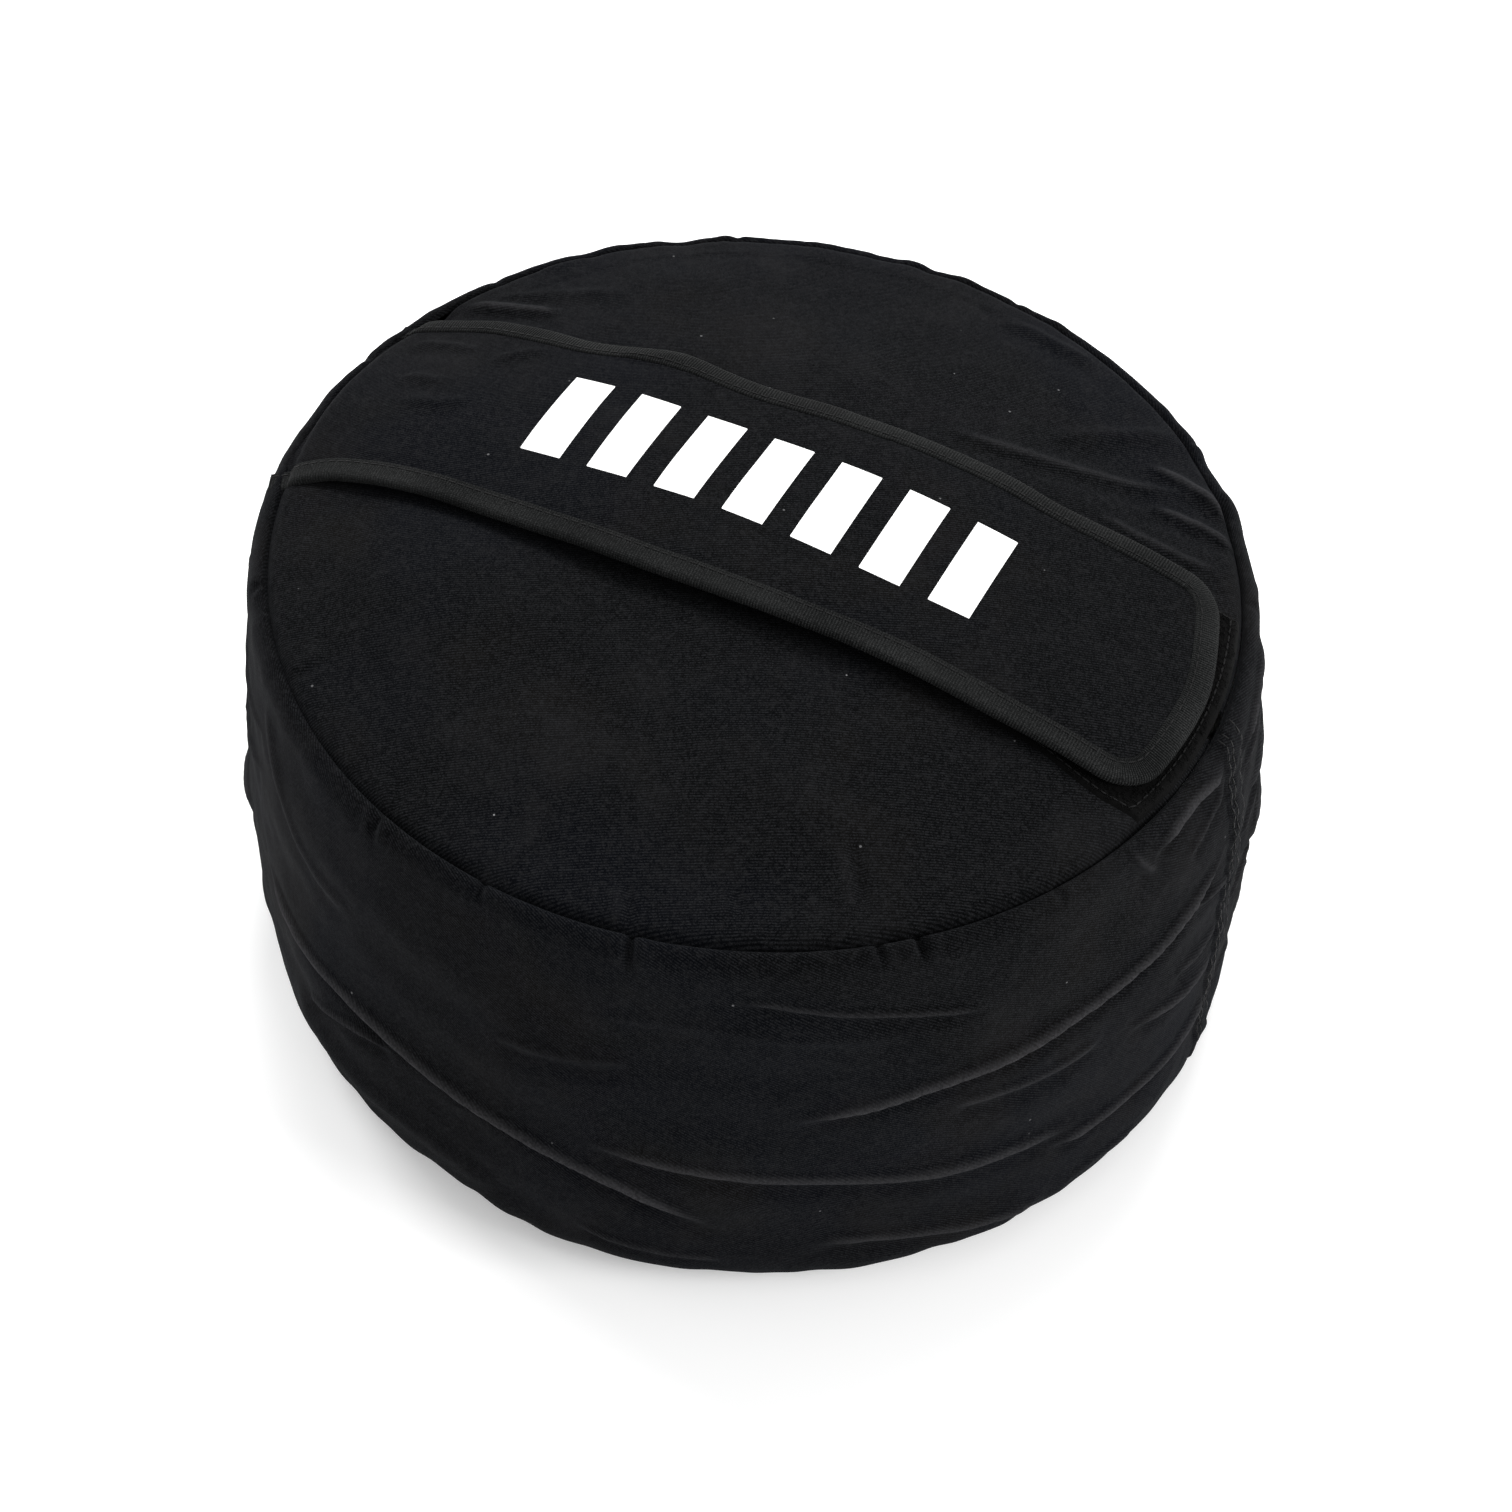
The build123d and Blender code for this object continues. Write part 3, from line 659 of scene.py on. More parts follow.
def wall_folds(degrees, height, widest=99):
    """The folds alone, up to a width, in millimetres."""
    to_arc = math.radians(1) * BELLY_RADIUS
    total = 0 * degrees
    for points, tall, wide in (fold for fold in WALL_FOLDS if fold[2] < widest):
        line = [(at * to_arc, level) for at, level in points]
        for turn in (0, 360):
            total = total + fold_curve((degrees + turn) * to_arc, height, line, tall, wide)
    for start, end, bow, tall, wide in SEAM_FOLDS:
        first, last = ((at * to_arc, level) for at, level in (start, end))
        total += fold_line(degrees * to_arc, height, first, last, bow, tall, wide)
    return total


def rim_tucks(degrees, run):
    arc = degrees * math.radians(1) * RIM_RADIUS
    total = 0 * degrees
    for at, length, depth in RIM_TUCKS:
        off = arc - at * math.radians(1) * RIM_RADIUS - 0.08 * run
        across = 0.5 * hill(off - 3.2, 2.2) + 0.5 * hill(off + 3.2, 2.2) - hill(off, 1.3)
        total = total + depth * across * smooth((length - run) / (0.6 * length)) * smooth(run / 1.5)
    return total


def wall_relief(degrees, height, run, whole):
    """How far the side's cloth stands out from its smooth shape."""
    angle = np.radians(degrees)
    x, y = BELLY_RADIUS * np.cos(angle), BELLY_RADIUS * np.sin(angle)
    inside = smooth(run / 25.0) * smooth((whole - run) / 25.0)
    relief = (1.5 * WALL_LUMPS(x, y, height) + 0.6 * WALL_RUMPLES(x, y, height)) * inside
    from_smooth_side = np.abs((degrees + 72 + 180) % 360 - 180)
    rougher = 0.1 + 0.9 * smooth((from_smooth_side - 70) / 15)
    creased = np.clip(0.5 + WALL_PATCHES(x, y, height), 0, 1) * rougher
    relief += 0.9 * hill(WALL_CREASES(x, y, height), 0.16) * creased * inside
    relief += 0.09 * WALL_CREPE(x, y, height)
    relief += wall_folds(degrees, height)
    relief += rim_pucker(degrees, run) + rim_tucks(degrees, run)
    from_base = whole - run
    relief += 0.6 * PUCKER(x * 0.9, y * 0.9, 77) * np.exp(-from_base / 12) * smooth(from_base / 2)
    relief -= 1.2 * np.exp(-from_base / 1.3)
    return relief + lap_relief(degrees, height)


def lap_relief(degrees, height):
    """The step of the lapped ends, and the rows of stitching that pull it in."""
    arc = math.radians(1) * BELLY_RADIUS
    relief = 0.9 * smooth((degrees - LAP[0]) * arc / 0.7) * smooth((LAP[1] - degrees) * arc / 3.0)
    for row in LAP_ROWS:
        off = (degrees - row) * arc
        relief -= 0.5 * hill(off, 0.8) * (0.7 + 0.3 * np.sin(height * 2 * math.pi / 3.25))
        relief += 0.35 * np.sin(height * 2 * math.pi / 9.0 + row) * hill(off, 4.0)
    return relief


def wall_point(degrees, at, normal, relief, run):
    """A point of the wall's cloth, with the rim's groove taken out of its height."""
    radius = at[..., 0] + normal[..., 0] * relief
    height = at[..., 1] + normal[..., 1] * relief - SEAM_DEPTH * np.exp(-run / 1.25)
    return leaned(ring(radius, np.radians(degrees), height))


def leaned(points):
    """The slump: nothing at the rim, and the whole of LEAN on the floor."""
    share = np.clip(1 - points[..., 2] / RIM_HEIGHT, 0, 1)[..., None]
    return points + share * np.array([*LEAN, 0.0])


def crest_wear_and_highlight(folds):
    """The crests of folds rub pale and are painted pale as highlight too; hollows don't."""
    return smooth((folds - 0.2) / 2.6) * 0.55


def side_wall():
    at, normal, run = wall_profile(0.95)
    columns = 1200
    # Finer columns at the lapped seam, where the stitching dimples the cloth.
    turn = np.linspace(-1, 1, columns, endpoint=False)
    degrees = 180 * turn
    seam = sum(LAP) / 2
    degrees = degrees - 2.9 * np.sin(np.radians(degrees - seam)) * hill(degrees - seam, 14)
    shape = (len(run), columns)
    degrees = np.broadcast_to(degrees, shape)
    runs = np.broadcast_to(run[:, None], shape)
    heights = np.broadcast_to(at[:, 1][:, None], shape)
    relief = wall_relief(degrees, heights, runs, run[-1])
    points = wall_point(degrees, np.broadcast_to(at[:, None], (*shape, 2)),
                        np.broadcast_to(normal[:, None], (*shape, 2)), relief, runs)
    points[-1] = leaned(ring(BASE_SEAM[0], np.radians(degrees[-1]), BASE_SEAM[1]))
    around = np.concatenate([degrees, degrees[:, :1] + 360], axis=1)
    uv = np.stack([around / 360 * 1024, np.broadcast_to(run[:, None], around.shape)], -1)
    # Pale fold crests: partly wear, partly painted highlight.
    wear_and_highlight = crest_wear_and_highlight(wall_folds(degrees, heights, widest=4))
    mesher = Mesher().grid(points, uv, wear_and_highlight, around=True)
    piece = mesher.make("side_wall_cloth", CANVAS, "canvas", "bag", ["side_wall"])
    return piece


def side_seam():
    at, normal, run = wall_profile(1.0)
    mesher = Mesher()
    for row in LAP_ROWS:
        degrees = np.full(len(run), row)
        relief = wall_relief(degrees, at[:, 1], run, run[-1]) + 0.25
        points = wall_point(degrees, at, normal, relief, run)
        angle = math.radians(row)
        up = np.stack([normal[:, 0] * math.cos(angle), normal[:, 0] * math.sin(angle), normal[:, 1]], -1)
        used = slice(4, -6)
        stitch_row(mesher, points[used], up[used])
    return mesher.make("side_seam_stitches", THREAD, "thread", "bag", ["side_seam_thread"])


# Base --------------------------------------------------------


def base():
    """The bottom panel: flat where it rests, turned up to the base seam with small gathers."""
    columns = 720
    flat = np.linspace(0, FLAT_RADIUS, 46)
    rising = np.linspace(0, 1, 26)[1:]
    radii = np.concatenate([flat, FLAT_RADIUS + (BASE_END[0] - FLAT_RADIUS) * rising])
    bend = BASE_END[1] * rising**2.1
    heights = np.concatenate([np.zeros(len(flat)), bend])
    degrees = np.broadcast_to(np.linspace(0, 360, columns, endpoint=False), (len(radii), columns))
    angle = np.radians(degrees)
    radius = np.broadcast_to(radii[:, None], degrees.shape)
    height = np.broadcast_to(heights[:, None], degrees.shape).copy()
    to_seam = BASE_END[0] - radius
    x, y = RIM_RADIUS * np.cos(angle), RIM_RADIUS * np.sin(angle)
    height += np.abs(0.8 * PUCKER(x, y, 31)) * np.exp(-to_seam / 7) * smooth(to_seam / 1.5)
    height += 0.25 * np.clip(WALL_CREPE(radius * np.cos(angle) / 2, radius * np.sin(angle) / 2), 0, 1)
    height[0] = height[0].mean()
    points = ring(radius, angle, height)
    points[-1, :, 0] *= BASE_SEAM[0] / BASE_END[0]
    points[-1, :, 1] *= BASE_SEAM[0] / BASE_END[0]
    points[-1, :, 2] = BASE_SEAM[1]
    points = leaned(points)
    uv = np.concatenate([points[..., :2], points[:, :1, :2]], axis=1)
    mesher = Mesher().grid(points, uv, around=True)
    piece = mesher.make("bottom_cloth", CANVAS, "canvas", "bag", ["bottom_panel"])
    return piece


# Top panel ---------------------------------------------------

TOP_LUMPS = Ripples(21, 95.0)
TOP_RUMPLES = Ripples(22, 34.0)
TOP_CREPE = Ripples(23, 12.0)

# Folds on the top, as start, end, bow, height and width.
TOP_FOLDS = [
    ((27, 62), (118, 94), -4.0, 1.3, 2.6),
    ((60, 80), (97, 113), 2.0, 1.4, 3.6),
    ((90, 93), (125, 85), 2.5, 1.9, 2.3),
    ((98, 74), (130, 76), 1.0, 1.8, 2.2),
    ((84, 60), (132, 61), -2.0, 1.2, 2.4),
    ((22, 133), (62, 129), 1.5, 1.1, 3.0),
    ((-134, 55), (-100, 63), 2.0, 1.7, 2.4),
    ((-120, 82), (-108, 100), 1.0, 0.9, 4.0),
    ((-128, 62), (-84, 80), 2.0, 0.9, 3.0),
    ((-76, -66), (92, -99), 6.0, 1.2, 10.0),
    ((-40, -104), (58, -112), 4.0, 0.6, 7.0),
    ((73, -93), (87, -113), 1.0, -1.3, 1.7),
    ((24, -134), (30, -147), 0.5, -1.3, 1.6),
    ((51, -121), (56, -131), 0.5, -0.9, 1.6),
    ((-51, -130), (-49, -142), 0.5, -0.9, 1.7),
    ((-92, -100), (-101, -110), 0.5, -0.9, 1.8),
    ((-10, -146), (-6, -128), 1.0, 0.7, 2.2),
]
PINCH = (-138, 50)        # the flap's far edge is gathered into the rim here


def crown_height(radius, rise=0.0):
    return CROWN_CENTRE + np.sqrt((CROWN_SPHERE + rise) ** 2 - radius**2)


def top_folds(x, y, widest=99):
    total = 0 * x
    for start, end, bow, tall, wide in (fold for fold in TOP_FOLDS if fold[4] < widest):
        total = total + fold_line(x, y, start, end, bow, tall, wide)
    return total


def top_relief(x, y):
    """How far the top's cloth stands above the smooth crown."""
    radius = np.hypot(x, y)
    from_rim = np.maximum(SEAM_RADIUS - radius, 0)
    from_zip = np.abs(y - ZIP_Y)
    calm = (0.25 + 0.75 * smooth((from_zip - 38) / 14)) * smooth((from_zip - 5) / 18)
    relief = (1.3 * TOP_LUMPS(x, y) + 0.32 * TOP_RUMPLES(x, y)) * smooth(from_rim / 35)
    relief += top_folds(x, y)
    # The seam allowance inside makes a low step all round.
    relief += 0.35 * smooth((13 - from_rim) / 3) * smooth(from_rim / 3)
    relief += 0.7 * rim_pucker(np.degrees(np.arctan2(y, x)), from_rim)
    gathered = 4.0 * hill(np.hypot(x - PINCH[0], y - PINCH[1]), 5.0)
    return relief * calm - gathered + 0.06 * TOP_CREPE(x, y)


def top_surface(x, y, rise=0.0):
    radius = np.minimum(np.hypot(x, y), SEAM_RADIUS)
    groove = SEAM_DEPTH * np.exp(-(SEAM_RADIUS - radius) / 1.25)
    return np.stack([x, y, crown_height(radius) + top_relief(x, y) + rise - groove], -1)


def spaced_rows(length, near, far, middle):
    """Places from 0 to length, with fixed fine steps at both ends that shrink where the strip is short."""
    squeeze = np.minimum(1.0, length / 34.0)
    start = np.array(near)[:, None] * squeeze
    finish = length - np.array(far)[::-1][:, None] * squeeze
    share = np.linspace(0, 1, middle + 2)[1:-1][:, None]
    return np.concatenate([start, start[-1] + (finish[0] - start[-1]) * share, finish], axis=0)


def top_panel(side, name, node):
    """One half of the top, from its hem beside the zip to the groove at the rim."""
    edge = ZIP_Y + side * SLOT
    widest = math.sqrt(SEAM_RADIUS**2 - edge**2)
    along = np.linspace(-1, 1, 420)
    x = widest * np.sin(along * math.pi / 2)
    rim = side * np.sqrt(np.maximum(SEAM_RADIUS**2 - x**2, edge**2))
    length = np.maximum(np.abs(rim - edge), 0.02)
    rows = spaced_rows(length, [0, 0.3, 0.8, 1.6, 3, 5, 7.4, 8.0, 8.8, 10], np.arange(0, 9, 0.5), 96)
    x = np.broadcast_to(x, rows.shape)
    y = edge + side * rows
    points = top_surface(x, y)
    # The hem lies flat under the loop patch.
    before_patch = 1 - smooth((x - LOOP_LOW[0] + 4) / 3)
    hem = 0.9 * (1 - smooth((rows - 7.6) / 1.2)) * smooth(length / 20) * before_patch
    points[..., 2] += hem - 1.6 * np.exp(-rows / 0.5) * smooth(length / 20)
    # Pale fold crests: partly wear, partly painted highlight.
    mesher = Mesher().grid(points, wear_and_highlight=crest_wear_and_highlight(top_folds(x, y, widest=3)), flip=side < 0)
    piece = mesher.make(name, CANVAS, "canvas", "bag", [node])
    return piece


def zip_stitches():
    mesher = Mesher()
    for side in (-1, 1):
        for row in (1.6, 7.0):
            y = ZIP_Y + side * (SLOT + row)
            reach = LOOP_LOW[0] - 2
            x = np.linspace(-math.sqrt(SEAM_RADIUS**2 - y**2) + 4, reach, 300)
            points = top_surface(x, np.full(300, y), 1.0)
            stitch_row(mesher, points, np.tile([0.0, 0.0, 1.0], (300, 1)))
    return mesher.make("zip_stitches", THREAD, "thread", "bag", ["zip_thread"])


def zip_teeth(side, name, node):
    low, high = node_box(node)
    pitch = 2.3
    x = np.arange(low[0] + 0.8 + (pitch / 2 if side > 0 else 0), high[0] - 0.8, pitch)
    y = np.full(len(x), ZIP_Y + side * 2.05)
    z = crown_height(np.hypot(x, y))
    slope = np.stack([np.ones(len(x)), np.zeros(len(x)), -x / (z - CROWN_CENTRE)], -1)
    tooth = pebble(2.5, 1.25, 2.0, rows=9, columns=12, power=0.45)
    across = frames_from(np.tile([0.0, 1.0, 0.0], (len(x), 1)), np.cross(slope, [0, 1, 0]))
    mesher = Mesher().copies(tooth, np.stack([x, y, z], -1), across)
    return mesher.make(name, TEETH, "zip_teeth", "bag", [node])


def askew(x, y):
    """The loop patch is sewn a little out of square, nearer the flap's middle at its inner end."""
    share = (LOOP_HIGH[1] - y) / (LOOP_HIGH[1] - LOOP_LOW[1])
    return y + 5.5 * (1 - smooth((x - 98) / 36)) * share


def pad_plan(low, high, outer, columns, rows):
    """A pad whose outer end is cut parallel to the rim: its places, and how far each is inside its edge."""
    y = np.linspace(low[1], high[1], rows)[:, None]
    right = np.sqrt(outer**2 - y**2)
    x = low[0] + (right - low[0]) * np.linspace(0, 1, columns)[None]
    y = np.broadcast_to(y, x.shape)
    return x, y, np.minimum.reduce([x - low[0], right - x, y - low[1], high[1] - y])


def loop_patch():
    """The loop side of the closure: a pad sewn to the top, furred with small loops of yarn."""
    x, y, edge = pad_plan(LOOP_LOW, LOOP_HIGH, LOOP_END, columns=90, rows=110)
    pad = top_surface(x, askew(x, y))
    pad[..., 2] += 0.8 * smooth(edge / PAD_EDGE) + 0.05
    piece = Mesher().grid(pad)
    random = np.random.default_rng(41)
    u = random.uniform(LOOP_LOW[0] + 0.7, LOOP_END - 1, LOOP_COUNT)
    v = random.uniform(LOOP_LOW[1] + 0.7, LOOP_HIGH[1] - 0.7, LOOP_COUNT)
    inside = np.hypot(u, v) < LOOP_END - 0.8
    u, v = u[inside], v[inside]
    turn = np.linspace(0, math.pi, 6)
    curl = wire(np.stack([0.55 * np.cos(turn), 0.62 * np.sin(turn)], -1), 0.09)
    heading = random.uniform(0, math.pi, len(u))
    way = np.stack([np.cos(heading), np.sin(heading), random.uniform(-0.4, 0.4, len(u))], -1)
    up = random.normal([0, 0, 2.2], 0.7, (len(u), 3))
    piece.copies(curl, top_surface(u, askew(u, v), 0.75), frames_from(way, up))
    return piece.make("loop_patch_pile", LOOP_PILE_AND_SHADE, "loop_pile", "bag", ["loop_patch"])


def loop_stitches():
    inset = 1.8
    low_x, low_y, high_y = LOOP_LOW[0] + inset, LOOP_LOW[1] + inset, LOOP_HIGH[1] - inset
    radius = LOOP_HIGH[0] - inset
    y = np.linspace(low_y, high_y, 120)
    arc = np.stack([np.sqrt(radius**2 - y**2), y], -1)
    near = np.stack([np.linspace(low_x, arc[0, 0], 80), np.full(80, low_y)], -1)
    far = np.stack([np.linspace(arc[-1, 0], low_x, 80), np.full(80, high_y)], -1)
    left = np.stack([np.full(80, low_x), np.linspace(high_y, low_y, 80)], -1)
    plan = np.concatenate([near, arc[1:], far[1:], left[1:]])
    points = top_surface(plan[:, 0], askew(plan[:, 0], plan[:, 1]), 1.05)
    mesher = stitch_row(Mesher(), points, np.tile([0.0, 0.0, 1.0], (len(points), 1)))
    return mesher.make("loop_patch_stitches", THREAD, "thread", "bag", ["loop_thread"])


# Storm flap --------------------------------------------------

FLAP_SAG = FLAP_TOP - crown_height(FLAP_SEAT_RADIUS) - FLAP_SEAT
FLAP_SPHERE = (FLAP_SEAT_RADIUS**2 + FLAP_SAG**2) / (2 * FLAP_SAG)
FLAP_CENTRE = FLAP_TOP - FLAP_SPHERE
FLAP_WAVES = Ripples(31, 75.0)
FLAP_RUMPLES = Ripples(32, 24.0)
EDGE_WAVES = Ripples(33, 34.0)

# Folds on the flap, as start, end, bow, height and width.
FLAP_FOLDS = [
    ((-130, 11), (-114, 8), 1.0, 0.9, 2.2),
    ((-124, 0), (-100, 4), -3.0, 0.8, 2.6),
    ((-106, 24), (-92, 36), 1.0, 0.7, 2.2),
    ((-138, 30), (-112, 28), 1.5, 0.8, 2.4),
    ((-70, 40), (-44, 46), 1.0, 0.6, 2.2),
]


def flap_relief(x, y):
    """The flap's own shape above its smooth sphere."""
    across = (y - FLAP_MIDDLE) / (FLAP_FAR - FLAP_MIDDLE)
    still = smooth((118 - x) / 30)
    relief = 0.55 * FLAP_WAVES(x, y) * still + 0.10 * FLAP_RUMPLES(x, y)
    relief -= 1.3 * across**2 * still
    # The far edge is gathered towards the root, and the near edge waves a little.
    far = np.exp(-np.maximum(FLAP_FAR - y, 0) / 9.0)
    gather = smooth((10 - x) / 120)
    relief += (0.35 + 0.9 * gather) * EDGE_WAVES(x) * far * still
    near = np.exp(-np.maximum(y - FLAP_NEAR, 0) / 12.0)
    relief += 0.45 * EDGE_WAVES(x * 0.6, 50) * near * still
    # At the root the plies lie down on the top and turn into the rim seam.
    relief -= 2.0 * smooth((-112 - x) / 34)
    from_rim = np.maximum(SEAM_RADIUS - np.hypot(x, y), 0)
    relief -= np.where(x < 0, SEAM_DEPTH * np.exp(-from_rim / 1.7), 0.0)
    for start, end, bow, tall, wide in FLAP_FOLDS:
        relief += fold_line(x, y, start, end, bow, tall, wide)
    return relief


def flap_surface(x, y, height):
    """A point that far above the lining's underside, and the direction out of the cloth there."""
    radius = FLAP_SPHERE + flap_relief(x, y) + height
    deep = np.sqrt(FLAP_SPHERE**2 - x**2 - y**2)
    out = np.stack([x, y, deep], -1) / FLAP_SPHERE
    points = out * radius[..., None]
    points[..., 2] += FLAP_CENTRE
    return points, out


def near_edge(x):
    bow = 2.4 * hill(x + 8, 45) - 1.8 * hill(x + 102, 28) - 1.2 * hill(x - 60, 25)
    bow = bow + 9.0 * smooth((-126 - x) / 40)
    return FLAP_NEAR - bow - 0.3 * smooth((112 - x) / 40)


def far_edge(x):
    bow = 3.2 * hill(x - 45, 38) - 4.5 * smooth((-116 - x) / 46)
    waves = 0.9 * EDGE_WAVES(x * 0.8, 9) * smooth((40 - x) / 60)
    return FLAP_FAR - 1.9 * smooth((112 - x) / 40) + bow + waves


def corner_arc(side):
    """The free end's rounded corner, between the long edge and the end that is cut parallel to the rim."""
    level = (FLAP_NEAR if side < 0 else FLAP_FAR) - side * FLAP_CORNER
    centre = np.array([math.sqrt((FLAP_END - FLAP_CORNER) ** 2 - level**2), level])
    return centre, math.atan2(centre[1], centre[0])


def flap_path():
    """The flap's edge seen from above: out along the near side, round the end and back along the far side."""
    near_centre, near_angle = corner_arc(-1)
    far_centre, far_angle = corner_arc(1)
    x = np.linspace(ROOT_X, near_centre[0], 400)
    parts = [np.stack([x, near_edge(x)], -1)]
    turns = ((near_centre, -math.pi / 2, near_angle), (far_centre, far_angle, math.pi / 2))
    for centre, first, last in turns:
        turn = np.linspace(first, last, 60)
        parts.append(centre + FLAP_CORNER * np.stack([np.cos(turn), np.sin(turn)], -1))
    turn = np.linspace(near_angle, far_angle, 120)[1:-1]
    parts.insert(2, FLAP_END * np.stack([np.cos(turn), np.sin(turn)], -1))
    x = np.linspace(far_centre[0], ROOT_X, 400)[1:]
    parts.append(np.stack([x, far_edge(x)], -1))
    return np.concatenate(parts)


def resampled(path, step):
    lengths = np.linalg.norm(np.diff(path, axis=0), axis=1)
    keep = np.concatenate([[True], lengths > 1e-6])
    path = path[keep]
    place = np.concatenate([[0], np.cumsum(np.linalg.norm(np.diff(path, axis=0), axis=1))])
    where = np.arange(0, place[-1], step)
    points = np.stack([np.interp(where, place, path[:, k]) for k in (0, 1)], -1)
    way = np.gradient(points, axis=0)
    way /= np.linalg.norm(way, axis=1)[:, None]
    return points, np.stack([-way[:, 1], way[:, 0]], -1), where


def cut_short(path):
    """The free end is cut a little short, and shorter on its far side."""
    x, y = path.T
    short = (1.2 + 3.6 * smooth((y - 2) / 44)) * smooth((x - 100) / 40)
    return np.stack([x - short, y], -1)


EDGE, EDGE_IN, EDGE_RUN = resampled(cut_short(flap_path()), RIB / 6)


def edge_parts():
    """The binding's three stretches: near side, end, far side."""
    turning = EDGE[:, 0] > SPLIT_X
    first, last = np.flatnonzero(turning)[[0, -1]]
    return {"near": slice(0, first + 1), "end": slice(first, last + 1), "far": slice(last, len(EDGE))}


def binding_grid(part):
    """Ribbed tape folded over the edge. Its rows go from the upper leg round the fold to the lower leg."""
    body = 2 * PLY
    half = body / 2 + TAPE
    legs = np.array([8.0, 7.9, 7.7, 7.2, 6.7, 6.2, 5.0, 3.6, 2.4])
    upper = [(TAPE_WIDTH * d / 8.0, body + TAPE * lift) for d, lift in
             zip(legs, (-0.4, 0.35, 0.75, 0.92, 0.80, 0.97, 1.05, 1.05, 1.0))]
    turn = np.linspace(math.pi / 2, -math.pi / 2, 9)
    fold = [(1.9 - 1.9 * math.cos(a), body / 2 + half * math.sin(a)) for a in turn]
    lower = [(d, body - h) for d, h in reversed(upper)]
    section = np.array(upper + fold + lower)
    base, inward, run = EDGE[part], EDGE_IN[part], EDGE_RUN[part]
    inset = section[:, 0][:, None]
    plan = base[None] + inward[None] * inset[..., None]
    away = np.sign(section[:, 1] - body / 2)[:, None] * (1 - hill(section[:, 0], 1.2))[:, None]
    rib = 0.085 * np.cos(2 * math.pi * run / RIB)[None]
    height = section[:, 1][:, None] + away * rib
    plan = plan - inward[None] * (hill(inset, 1.2) * rib)[..., None]
    points, _ = flap_surface(plan[..., 0], plan[..., 1], height)
    across = np.concatenate([[0], np.cumsum(np.linalg.norm(np.diff(section, axis=0), axis=1))])
    uv = np.stack(np.broadcast_arrays(run[None], across[:, None]), -1)
    # Paleness along the fold and on the rib crests: partly wear, partly painted highlight on the ribs.
    patches = 0.5 + 0.5 * EDGE_WAVES(run * 1.3, 3)
    ridge = 0.5 + 0.5 * np.cos(2 * math.pi * run / RIB)
    at_fold = 0.4 + 0.6 * hill(inset - 1.5, 3.0)
    wear_and_highlight = np.clip(0.25 + 0.55 * patches, 0, 1)[None] * (0.35 + 0.65 * ridge[None]) * at_fold
    return points, uv, wear_and_highlight


def edge_stitches(mesher, part):
    """One row through the binding, seen on the face and on the lining."""
    base, inward = EDGE[part][::4], EDGE_IN[part][::4]
    plan = base + inward * (TAPE_WIDTH - 1.8)
    for height, way in ((2 * PLY + TAPE + 0.02, 1.0), (-TAPE - 0.02, -1.0)):
        points, out = flap_surface(plan[:, 0], plan[:, 1], np.full(len(plan), height))
        stitch_row(mesher, points, out * way, length=2.3, gap=0.8, thick=0.6)
    return mesher


def ply_grid(x_low, x_high, height, rows=110, step=1.0):
    """One ply of the flap between two places along it, out to under the binding."""
    inset = 2.6
    path = EDGE + EDGE_IN * inset
    turning = np.argmax(path[:, 0])
    x = np.linspace(x_low, min(x_high, path[turning, 0] - 0.05), max(8, int((x_high - x_low) / step)))
    near = np.interp(x, path[:turning + 1, 0], path[:turning + 1, 1])
    far = np.interp(x, path[turning:, 0][::-1], path[turning:, 1][::-1])
    share = np.linspace(0, 1, rows)[:, None]
    y = near + (far - near) * share
    x = np.broadcast_to(x, y.shape)
    # The tape presses the plies together beside it.
    beside = np.minimum(y - near, far - y) - (TAPE_WIDTH - inset)
    puff = 0.22 * smooth(beside / 5)
    out = 1.0 if height > PLY else -1.0
    points, _ = flap_surface(x, y, height + out * puff)
    return points, np.stack([x, y], -1)


def flap_cloth(name, material, height, replaced_main, replaced_end):
    """One ply as two sheets that meet at SPLIT_X: the flap proper and its end."""
    made = []
    for part, x_low, x_high, replaced in (("main", ROOT_X + 0.2, SPLIT_X, replaced_main),
                                          ("end", SPLIT_X, FLAP_END, replaced_end)):
        points, uv = ply_grid(x_low, x_high, height)
        mesher = Mesher().grid(points, uv, flip=height > PLY)
        made.append(mesher.make(f"{name}_{part}", material, "canvas", None, replaced))
    return made


def print_stripes():
    """Plain white stripes that stand almost straight across the flap, on the face's own surface."""
    low, high = node_box("flap_print")
    pitch = (high[0] - low[0] - STRIPE_LEAN) / (STRIPES - 1 + STRIPE_SHARE)
    mesher = Mesher()
    for number in range(STRIPES):
        across, up = np.meshgrid(np.linspace(0, 1, 26), np.linspace(0, 1, 60))
        x = low[0] + number * pitch + across * pitch * STRIPE_SHARE + up * STRIPE_LEAN
        y = low[1] + (high[1] - low[1]) * up
        edge = np.minimum.reduce([across, 1 - across, up * 3, (1 - up) * 3])
        points, _ = flap_surface(x, y, 2 * PLY + 0.22 + 0.10 * smooth(edge / 0.04) - 0.05)
        mesher.grid(points, np.stack([x, y], -1), flip=True)
    return mesher.make("flap_print_stripes", PRINT, "print", "flap", ["flap_print"])


